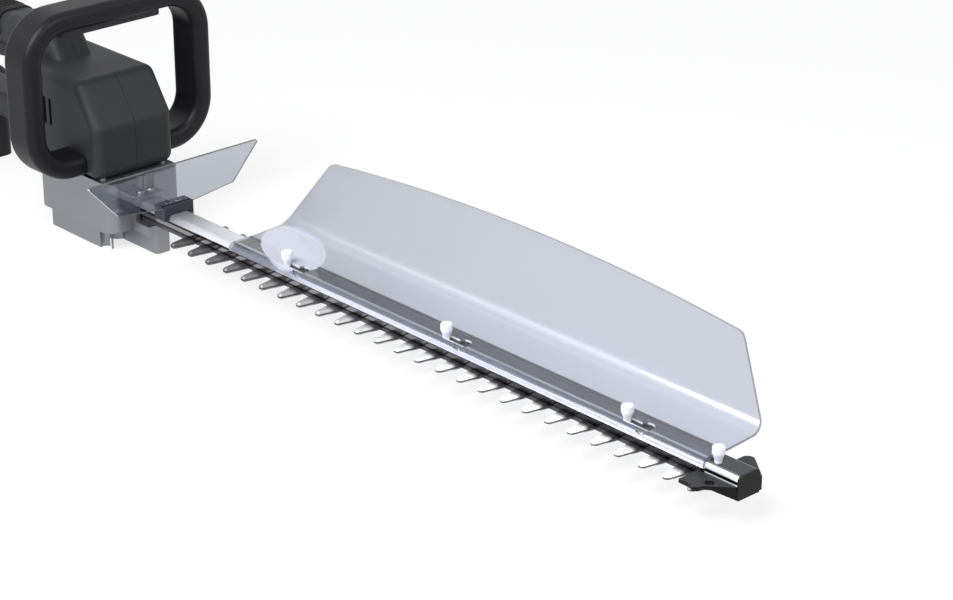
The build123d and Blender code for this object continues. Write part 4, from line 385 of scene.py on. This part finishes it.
def bar_aluminium(name):
    """Drawn aluminium: dark anodised top and sides, painted highlights on the near edge and on the bare
    stretch by the bracket.
    """
    material, tree, place = new_finish(name)
    long = add(tree, "ShaderNodeMapping", {"Scale": (DRAWN_SQUEEZE, 1, 1)}, {"Vector": place})
    lines = add(tree, "ShaderNodeTexNoise", {"Scale": per_mm(DRAWN_LINE), "Detail": 2.0}, {"Vector": long})
    axes = add(tree, "ShaderNodeSeparateXYZ", {}, {"Vector": place}).outputs
    normal = add(tree, "ShaderNodeNewGeometry").outputs["Normal"]
    up = add(tree, "ShaderNodeSeparateXYZ", {}, {"Vector": normal}).outputs["Z"]
    covered = add(tree, "ShaderNodeMath", UNDER_SHEET, {0: axes["X"]})
    nearby = add(tree, "ShaderNodeMath", {"operation": "LESS_THAN", 1: 0.0}, {0: axes["Y"]})

    # Top: a painted highlight on the bare stretch up to the sheet, dark under it, with a painted highlight
    # line where the sheet sits
    lit = add(tree, "ShaderNodeMapRange", BARE_LIT, {"Value": axes["X"]})
    bare = add(tree, "ShaderNodeMix", {**TINT, FROM: srgb("808187"), TO: srgb("d2d3d9")}, {SHARE: lit})
    past = add(tree, "ShaderNodeMapRange", SHEET_BEGINS, {"Value": axes["X"]})
    top = add(tree, "ShaderNodeMix", {**TINT, TO: srgb("2b2c31")}, {SHARE: past, FROM: bare})
    seat_highlight = add(tree, "ShaderNodeMath", SEAT_HIGHLIGHT_LINE, {0: axes["Y"]})
    seat_highlight = add(tree, "ShaderNodeMath", {"operation": "MULTIPLY"}, {0: seat_highlight, 1: covered})
    top = add(tree, "ShaderNodeMix", {**TINT, TO: srgb("aeb0b6")}, {SHARE: seat_highlight, FROM: top})

    # Side, from below: painted shade at the foot, a band that darkens towards the tip, painted shade in a
    # crease, a painted highlight line past the sheet
    # Painted shade at the foot, where the bar sits on the blades
    above = add(tree, "ShaderNodeMapRange", ABOVE_FOOT, {"Value": axes["Z"]})
    darker_to_tip = add(tree, "ShaderNodeMapRange", SIDE_DARKENS, {"Value": axes["X"]})
    low = add(tree, "ShaderNodeMix", {**TINT, FROM: srgb("8c898e"), TO: srgb("3a393d")}, {SHARE: darker_to_tip})
    side = add(tree, "ShaderNodeMix", {**TINT, FROM: srgb("222225")}, {SHARE: above, TO: low})
    crease_shade = add(tree, "ShaderNodeMath", CREASE_SHADE, {0: axes["Z"]})
    side = add(tree, "ShaderNodeMix", {**TINT, TO: srgb("1c1c1f")}, {SHARE: crease_shade, FROM: side})
    tip_highlight = add(tree, "ShaderNodeMath", TIP_HIGHLIGHT_LINE, {0: axes["Z"]})
    tip = add(tree, "ShaderNodeMath", {"operation": "GREATER_THAN", 1: SHEET_END}, {0: axes["X"]})
    line = add(tree, "ShaderNodeMath", {"operation": "MULTIPLY"}, {0: tip_highlight, 1: tip})
    side = add(tree, "ShaderNodeMix", {**TINT, TO: srgb("eceef2")}, {SHARE: line, FROM: side})

    # Near edge: a painted highlight above a level that is lower under the sheet, and painted half-light on
    # its rounded shoulder
    start = add(tree, "ShaderNodeMix", EDGE_HIGHLIGHT_FROM, {SHARE: covered})
    height = add(tree, "ShaderNodeMath", {"operation": "SUBTRACT"}, {0: axes["Z"], 1: start})
    edge_highlight = add(tree, "ShaderNodeMapRange", EDGE_HIGHLIGHT_FADE, {"Value": height})
    edge_highlight = add(tree, "ShaderNodeMath", {"operation": "MULTIPLY"}, {0: edge_highlight, 1: nearby})
    shine = add(tree, "ShaderNodeMapRange", EDGE_SHINES, {"Value": axes["X"]})
    # Painted highlight colours of the edge: grey past the sheet's start, near white further on
    painted_sheen = add(tree, "ShaderNodeMix", {**TINT, TO: srgb("8a8c92")}, {SHARE: past, FROM: bare})
    bright = add(tree, "ShaderNodeMix", {**TINT, TO: srgb("e6e8ec")}, {SHARE: shine, FROM: painted_sheen})
    edge = add(tree, "ShaderNodeMix", TINT, {SHARE: edge_highlight, FROM: side, TO: bright})
    turn = add(tree, "ShaderNodeMix", SHOULDER_TILT, {SHARE: covered})
    tilt = add(tree, "ShaderNodeMath", {"operation": "SUBTRACT"}, {0: up, 1: turn})
    shoulder = add(tree, "ShaderNodeMapRange", SHOULDER_FADE, {"Value": tilt})
    # Painted half-light on the shoulder, grey past the sheet's start
    corner = add(tree, "ShaderNodeMix", {**TINT, TO: srgb("6c6e74")}, {SHARE: past, FROM: bare})
    edge = add(tree, "ShaderNodeMix", TINT, {SHARE: shoulder, FROM: edge, TO: corner})
    level = add(tree, "ShaderNodeMapRange", LEVEL, {"Value": up})
    tint = add(tree, "ShaderNodeMix", TINT, {SHARE: level, FROM: edge, TO: top})

    # The side below the painted edge highlight mirrors the gaps between the teeth
    below = add(tree, "ShaderNodeMapRange", {"From Min": 1.0, "From Max": 0.0}, {"Value": edge_highlight})
    upright = add(tree, "ShaderNodeMath", UPRIGHT, {0: up})
    mirror = add(tree, "ShaderNodeMath", {"operation": "MULTIPLY"}, {0: below, 1: upright})
    mirror = add(tree, "ShaderNodeMath", {"operation": "SUBTRACT", "use_clamp": True}, {0: mirror, 1: line})
    metal = add(tree, "ShaderNodeMix", {FROM_VALUE: 0.4, TO_VALUE: 1.0}, {SHARE: mirror})
    satin = add(tree, "ShaderNodeMapRange", {"To Min": 0.22, "To Max": 0.38}, {"Value": lines})
    gloss = add(tree, "ShaderNodeMix", {TO_VALUE: 0.1}, {SHARE: mirror, FROM_VALUE: satin})
    bump = add(tree, "ShaderNodeBump", {"Strength": 0.15, "Distance": LINE_HEIGHT}, {"Height": lines})
    shader = add(tree, "ShaderNodeBsdfPrincipled", {}, {
        "Base Color": tint, "Metallic": metal, "Roughness": gloss, "Normal": bump})
    add(tree, "ShaderNodeOutputMaterial", {}, {"Surface": shader})
    return material


# Plastics: name, colour, shade of its clouds, roughness, grain in mm, depth of the grain
# Metals: name, colour, roughness, width of a line in mm, how many times longer than wide it is
finishes = {
    "blade_steel": blade_steel("ground_spring_steel"),
    "bar_aluminium": bar_aluminium("anodised_aluminium"),
    "clear_sheet": collector_sheet("clear_polycarbonate"),
    "peg_plastic": grained_plastic("milky_nylon", "dfe2ea", "d6dae4", 0.35, 0.6, 0.05),
    "housing_plastic": grained_plastic(
        "graphite_abs", "2a2b2f", "25262a", 0.5, 0.35, 0.25, seam=("Y", 0.0)),
    "handle_plastic": grained_plastic(
        "black_abs", "121216", "0e0e12", 0.42, 0.35, 0.2, seam=("X", LOOP_SEAM)),
    # The guard's up-facing faces get a painted sheen
    "guard_plastic": grained_plastic(
        "black_glass_filled_nylon", "09090b", "070709", 0.45, 0.5, 0.3, painted_sheen="29292b"),
    "bracket_plastic": grained_plastic("slate_nylon", "33353e", "2d2f38", 0.5, 0.4, 0.25),
    "soft_grip": grained_plastic("soft_rubber", "161618", "121214", 0.7, 0.5, 0.4),
    "cast_aluminium": brushed_metal("bead_blasted_casting", "8e9096", 0.45, 0.6, 1),
    "screw_steel": brushed_metal("zinc_plated_steel", "9a9ba0", 0.3, 0.3, 1),
    "gear_steel": brushed_metal("machined_steel", "a5a7ac", 0.28, 0.3, 3),
    "bearing_steel": brushed_metal("polished_bearing_steel", "d0d2d6", 0.12, 0.3, 3),
    "motor_steel": brushed_metal("plated_steel_can", "85878c", 0.35, 0.4, 2),
    "ferrite": grained_plastic("pressed_ferrite", "3c3c40", "343438", 0.7, 0.3, 0.3),
    "copper": brushed_metal("bare_copper", "c88a63", 0.28, 0.3, 3),
    "carbon": grained_plastic("pressed_carbon", "2a2a2b", "232324", 0.6, 0.2, 0.3),
    "board_green": grained_plastic("lacquered_board", "1f6b3c", "1a5f35", 0.3, 1.5, 0.1),
    "switch_plastic": grained_plastic("black_moulded_nylon", "2b2b2f", "26262a", 0.45, 0.3, 0.2),
    "spring_steel": brushed_metal("drawn_spring_wire", "b0b2b6", 0.25, 0.2, 3),
    "battery_plastic": grained_plastic("black_battery_abs", "1c1c1f", "18181b", 0.5, 0.4, 0.25),
    "cell_sleeve": grained_plastic("shrink_sleeve", "3f6fae", "3967a3", 0.35, 2.0, 0.05),
    "lamp_plastic": grained_plastic("tinted_light_pipe", "8fd08f", "86c886", 0.2, 2.0, 0.02),
}
guard_finish = clear_guard("clear_guard_polycarbonate")
for node, slot in slot_of.items():
    target = nodes[node].data
    target.materials.clear()
    target.materials.append(guard_finish if node == "hand_guard" else finishes[slot])

# Pieces that repeat, made with Geometry Nodes

# Springs: thickness and pitch of the wire, steps in one turn
SPRING_WIRE = 0.7 * MM
SPRING_PITCH = 2.0 * MM
COIL_STEPS = 24

# Screws: depth of the cross recess; its bars, the chamfer and the rim as shares of the head; round corners
RECESS_DEPTH = 1.3 * MM
RECESS_BAR = 0.3
RECESS_SPAN = 1.25
HEAD_CHAMFER = 0.25
HEAD_RIM = 0.98
HEAD_CORNERS = 36
SHANK_CORNERS = 24

# Grip ribs: radius, pitch, free ends of the pad, and the path over the pad
GRIP_RIB = 0.6 * MM
GRIP_RIB_PITCH = 5.0 * MM
GRIP_RIB_MARGIN = 9.0 * MM
GRIP_CORNER = 10.2 * MM
GRIP_FOOT = 1.5 * MM
CORNER_STEPS = 6

# Corners of a round wire, the angle in degrees past which an edge is sharp, and two kinds of socket
WIRE_CORNERS = 10
SHARP_ANGLE = 35
NUMBER = "NodeSocketFloat"
COUNT = "NodeSocketInt"


def span_of(corners):
    """Lowest and highest corner of a list of points."""
    low = Vector([min(corner[axis] for corner in corners) for axis in range(3)])
    high = Vector([max(corner[axis] for corner in corners) for axis in range(3)])
    return low, high


def solids_of(name):
    """The separate solids of a CAD node, each as a list of its corners."""
    mesh = bmesh.new()
    mesh.from_mesh(nodes[name].data)
    bmesh.ops.remove_doubles(mesh, verts=mesh.verts, dist=MM / 1000)
    left = set(mesh.verts)
    solids = []
    while left:
        edge = [left.pop()]
        corners = []
        while edge:
            corner = edge.pop()
            corners.append(corner.co.copy())
            for link in corner.link_edges:
                other = link.other_vert(corner)
                if other in left:
                    left.remove(other)
                    edge.append(other)
        solids.append(corners)
    mesh.free()
    return sorted(solids, key=lambda corners: tuple(span_of(corners)[0]))


def new_group(name, inputs):
    """An empty Geometry Nodes tree with named inputs, and the sockets of its Group Input."""
    tree = bpy.data.node_groups.new(name, "GeometryNodeTree")
    tree.interface.new_socket("Geometry", in_out="INPUT", socket_type="NodeSocketGeometry")
    for label, kind in inputs.items():
        tree.interface.new_socket(label, in_out="INPUT", socket_type=kind)
    tree.interface.new_socket("Material", in_out="INPUT", socket_type="NodeSocketMaterial")
    tree.interface.new_socket("Geometry", in_out="OUTPUT", socket_type="NodeSocketGeometry")
    return tree, add(tree, "NodeGroupInput").outputs


def end_group(tree, geometry, material):
    """Realizes the instances, sets the material and feeds the group's output."""
    real = add(tree, "GeometryNodeRealizeInstances", {}, {"Geometry": geometry})
    done = add(tree, "GeometryNodeSetMaterial", {}, {"Geometry": real, "Material": material})
    add(tree, "NodeGroupOutput", {}, {0: done})
    return tree


def make_piece(name, corners, edges, tree, values):
    """Runs a node tree on a mesh of points and edges, and keeps the result as a plain mesh."""
    mesh = bpy.data.meshes.new(name + "_points")
    mesh.from_pydata(corners, edges, [])
    source = bpy.data.objects.new(name + "_source", mesh)
    bpy.context.scene.collection.objects.link(source)
    modifier = source.modifiers.new("nodes", "NODES")
    modifier.node_group = tree
    for item in tree.interface.items_tree:
        if item.name in values:
            modifier[item.identifier] = values[item.name]
    made = source.evaluated_get(bpy.context.evaluated_depsgraph_get())
    done = bpy.data.meshes.new_from_object(made)
    bpy.data.objects.remove(source)
    done.name = name
    done.shade_smooth()
    done.set_sharp_from_angle(angle=math.radians(SHARP_ANGLE))
    piece = bpy.data.objects.new(name, done)
    bpy.context.scene.collection.objects.link(piece)
    return piece


def coil_tree():
    """A coil of wire along Z on every point."""
    tree, given = new_group("spring_coils", {
        "Turns": NUMBER, "Radius": NUMBER, "Height": NUMBER, "Wire": NUMBER, "Steps": COUNT})
    path = add(tree, "GeometryNodeCurveSpiral", {}, {
        "Resolution": given["Steps"], "Rotations": given["Turns"], "Start Radius": given["Radius"],
        "End Radius": given["Radius"], "Height": given["Height"]})
    wire = add(tree, "GeometryNodeCurvePrimitiveCircle", {"Resolution": WIRE_CORNERS}, {
        "Radius": given["Wire"]})
    coil = add(tree, "GeometryNodeCurveToMesh", {"Fill Caps": True}, {"Curve": path, "Profile Curve": wire})
    each = add(tree, "GeometryNodeInstanceOnPoints", {}, {"Points": given["Geometry"], "Instance": coil})
    return end_group(tree, each, given["Material"])


def screw_tree():
    """A screw with a chamfered head and a cross recess on every point, its head's top at the point."""
    tree, given = new_group("recessed_screws", {
        "Head radius": NUMBER, "Head height": NUMBER, "Shank radius": NUMBER, "Length": NUMBER,
        "Turn": "NodeSocketRotation"})
    head, tall = given["Head radius"], given["Head height"]
    body, length = given["Shank radius"], given["Length"]
    rim = add(tree, "ShaderNodeMath", {"operation": "MULTIPLY", 1: HEAD_CHAMFER}, {0: tall})
    flat = add(tree, "ShaderNodeMath", {"operation": "SUBTRACT"}, {0: head, 1: rim})
    side = add(tree, "ShaderNodeMath", {"operation": "SUBTRACT"}, {0: tall, 1: rim})
    shank = add(tree, "ShaderNodeMath", {"operation": "SUBTRACT"}, {0: length, 1: tall})
    stack = []
    for level, top, bottom, height, corners in ((rim, flat, head, rim, HEAD_CORNERS),
                                                (tall, head, head, side, HEAD_CORNERS),
                                                (length, body, body, shank, SHANK_CORNERS)):
        drop = add(tree, "ShaderNodeMath", {"operation": "MULTIPLY", 1: -1.0}, {0: level})
        foot = add(tree, "ShaderNodeCombineXYZ", {}, {"Z": drop})
        barrel = add(tree, "GeometryNodeMeshCone", {"Vertices": corners}, {
            "Radius Top": top, "Radius Bottom": bottom, "Depth": height})
        stack.append(add(tree, "GeometryNodeTransform", {}, {"Geometry": barrel, "Translation": foot}))
    wide = add(tree, "ShaderNodeMath", {"operation": "MULTIPLY", 1: RECESS_SPAN}, {0: head})
    thin = add(tree, "ShaderNodeMath", {"operation": "MULTIPLY", 1: RECESS_BAR}, {0: head})
    cross = []
    for across, along in ((wide, thin), (thin, wide)):
        size = add(tree, "ShaderNodeCombineXYZ", {"Z": 2 * RECESS_DEPTH}, {"X": across, "Y": along})
        cross.append(add(tree, "GeometryNodeMeshCube", {}, {"Size": size}))
    blank = add(tree, "GeometryNodeMeshBoolean", {"operation": "UNION"}, {"Mesh 2": stack[:2]})
    cut = add(tree, "GeometryNodeMeshBoolean", {"operation": "DIFFERENCE"}, {
        "Mesh 1": blank, "Mesh 2": cross})
    screw = add(tree, "GeometryNodeJoinGeometry", {}, {0: [cut, stack[2]]})
    each = add(tree, "GeometryNodeInstanceOnPoints", {}, {
        "Points": given["Geometry"], "Instance": screw, "Rotation": given["Turn"]})
    return end_group(tree, each, given["Material"])


def rib_tree():
    """A round rib along the drawn edges, repeated along X."""
    tree, given = new_group("grip_ribs", {"Rib": NUMBER, "Count": COUNT, "Pitch": "NodeSocketVector"})
    path = add(tree, "GeometryNodeMeshToCurve", {}, {"Mesh": given["Geometry"]})
    wire = add(tree, "GeometryNodeCurvePrimitiveCircle", {"Resolution": WIRE_CORNERS}, {
        "Radius": given["Rib"]})
    rib = add(tree, "GeometryNodeCurveToMesh", {"Fill Caps": True}, {"Curve": path, "Profile Curve": wire})
    row = add(tree, "GeometryNodeMeshLine", {}, {"Count": given["Count"], "Offset": given["Pitch"]})
    each = add(tree, "GeometryNodeInstanceOnPoints", {}, {"Points": row, "Instance": rib})
    return end_group(tree, each, given["Material"])


def spring(node, tree):
    """A wire coil in place of the plain sleeves of a node, which a joint shortens towards its fixed end."""
    boxes = [span_of(corners) for corners in solids_of(node)]
    low, high = boxes[0]
    radius = (high.x - low.x) / 2 - SPRING_WIRE / 2
    height = high.z - low.z - SPRING_WIRE
    feet = [((one.x + two.x) / 2, (one.y + two.y) / 2, one.z + SPRING_WIRE / 2) for one, two in boxes]
    piece = make_piece(node + "_coil", feet, [], tree, {
        "Turns": height / SPRING_PITCH, "Radius": radius, "Height": height, "Wire": SPRING_WIRE / 2,
        "Steps": COIL_STEPS, "Material": finishes["spring_steel"]})
    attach(piece, body_of[node])
    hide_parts(node)
    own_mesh(piece)


def screws(node, tree):
    """Cross-recess screws in place of the plain pins of a node, sized and turned as those are."""
    solids = solids_of(node)
    pin = solids[0]
    low, high = span_of(pin)
    middle = (low + high) / 2
    size = high - low
    axis = max(range(3), key=lambda way: size[way])
    side = (axis + 1) % 3
    widest = max(abs(corner[side] - middle[side]) for corner in pin)
    rim = [corner[axis] for corner in pin if abs(corner[side] - middle[side]) > HEAD_RIM * widest]
    up = 1 if sum(rim) / len(rim) > middle[axis] else -1
    shank = [corner for corner in pin if (corner[axis] - middle[axis]) * up < 0]
    slim = max(abs(corner[side] - middle[side]) for corner in shank)
    tops = []
    for corners in solids:
        one, two = span_of(corners)
        top = (one + two) / 2
        top[axis] = two[axis] if up > 0 else one[axis]
        tops.append(top)
    outward = Vector((0, 0, 0))
    outward[axis] = up
    piece = make_piece(node + "_recessed", tops, [], tree, {
        "Head radius": widest, "Head height": max(rim) - min(rim), "Shank radius": slim,
        "Length": size[axis], "Turn": outward.to_track_quat("Z", "Y").to_euler(),
        "Material": finishes["screw_steel"]})
    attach(piece, body_of[node])
    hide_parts(node)


def grip_ribs():
    """Ribs across the soft pad, from one lower edge over the top to the other."""
    low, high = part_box("rear_grip")
    first = low.x + GRIP_RIB_MARGIN
    count = int((high.x - low.x - 2 * GRIP_RIB_MARGIN) / GRIP_RIB_PITCH) + 1
    path = [(first, low.y, low.z + GRIP_FOOT)]
    for side in (-1, 1):
        for step in range(CORNER_STEPS + 1):
            turn = math.radians(90 * step / CORNER_STEPS)
            if side > 0:
                turn = math.radians(90) - turn
            y = (high.y - GRIP_CORNER + GRIP_CORNER * math.cos(turn)) * side
            path.append((first, y, high.z - GRIP_CORNER + GRIP_CORNER * math.sin(turn)))
    path.append((first, high.y, low.z + GRIP_FOOT))
    edges = [(step, step + 1) for step in range(len(path) - 1)]
    piece = make_piece("grip_ribs", path, edges, rib_tree(), {
        "Rib": GRIP_RIB, "Count": count, "Pitch": (GRIP_RIB_PITCH, 0, 0), "Material": finishes["soft_grip"]})
    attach(piece, body_of["rear_grip"])


coils = coil_tree()
for joint in record["behaviour"]["joints"]:
    for bent in joint.get("deforming_nodes", []):
        spring(bent["node"], coils)
recessed = screw_tree()
for node in ("housing_screws", "front_handle_screws", "gearbox_screws", "guard_screws", "bar_screws",
             "tip_guard_screw", "motor_screws", "battery_screws"):
    screws(node, recessed)
grip_ribs()

# Stage

camera = bpy.data.objects.new("camera", bpy.data.cameras.new("camera"))
bpy.context.scene.collection.objects.link(camera)
turn = Matrix((CAMERA_RIGHT, CAMERA_UP, CAMERA_BACK)).transposed()
camera.matrix_world = Matrix.Translation(CAMERA_PLACE) @ turn.to_4x4()
camera.data.lens = CAMERA_LENS
camera.data.sensor_width = SENSOR_WIDTH
camera.data.sensor_fit = "HORIZONTAL"
camera.data.clip_end = VIEW_DEPTH
bpy.context.scene.camera = camera


def seen_rays(tree):
    """1 for rays that show the background to the eye, straight, mirrored or through glass."""
    path = add(tree, "ShaderNodeLightPath").outputs
    seen = path["Is Camera Ray"]
    for ray in ("Is Glossy Ray", "Is Transmission Ray"):
        seen = add(tree, "ShaderNodeMath", {"operation": "MAXIMUM"}, {0: seen, 1: path[ray]})
    return seen


world = bpy.data.worlds.new("white_studio")
world.use_nodes = True
bpy.context.scene.world = world
tree = world.node_tree
tree.nodes.clear()
dim = add(tree, "ShaderNodeBackground", {"Color": srgb("f4f6fa"), "Strength": SKY_STRENGTH})
bright = add(tree, "ShaderNodeBackground", {"Color": srgb("ffffff"), "Strength": 1.0})
mixed = add(tree, "ShaderNodeMixShader", {}, {0: seen_rays(tree), 1: dim, 2: bright})
add(tree, "ShaderNodeOutputWorld", {}, {"Surface": mixed})

floor_mesh = bpy.data.meshes.new("floor")
corners = [(-FLOOR_HALF, -FLOOR_HALF, 0), (FLOOR_HALF, -FLOOR_HALF, 0),
           (FLOOR_HALF, FLOOR_HALF, 0), (-FLOOR_HALF, FLOOR_HALF, 0)]
floor_mesh.from_pydata(corners, [], [(0, 1, 2, 3)])
floor = bpy.data.objects.new("floor", floor_mesh)
bpy.context.scene.collection.objects.link(floor)
paper, tree = new_finish("white_paper")[:2]
matt = add(tree, "ShaderNodeBsdfDiffuse", {"Color": srgb("f7f7f7")})
glow = add(tree, "ShaderNodeEmission", {"Color": srgb("ffffff"), "Strength": 1.0})
share = add(tree, "ShaderNodeMath", {"operation": "MULTIPLY", 1: FLOOR_GLOW}, {0: seen_rays(tree)})
both = add(tree, "ShaderNodeMixShader", {}, {0: share, 1: matt, 2: glow})
add(tree, "ShaderNodeOutputMaterial", {}, {"Surface": both})
floor_mesh.materials.append(paper)


def soft_box(name, place, target, width, height, power):
    """A soft round lamp that faces a point of the object."""
    lamp = bpy.data.objects.new(name, bpy.data.lights.new(name, "AREA"))
    bpy.context.scene.collection.objects.link(lamp)
    lamp.data.shape = "ELLIPSE"
    lamp.data.size = width
    lamp.data.size_y = height
    lamp.data.energy = power
    lamp.location = place
    lamp.rotation_euler = (Vector(place) - Vector(target)).to_track_quat("Z", "Y").to_euler()


for lamp in LAMPS:
    soft_box(*lamp)

bpy.context.scene.view_settings.view_transform = "Standard"
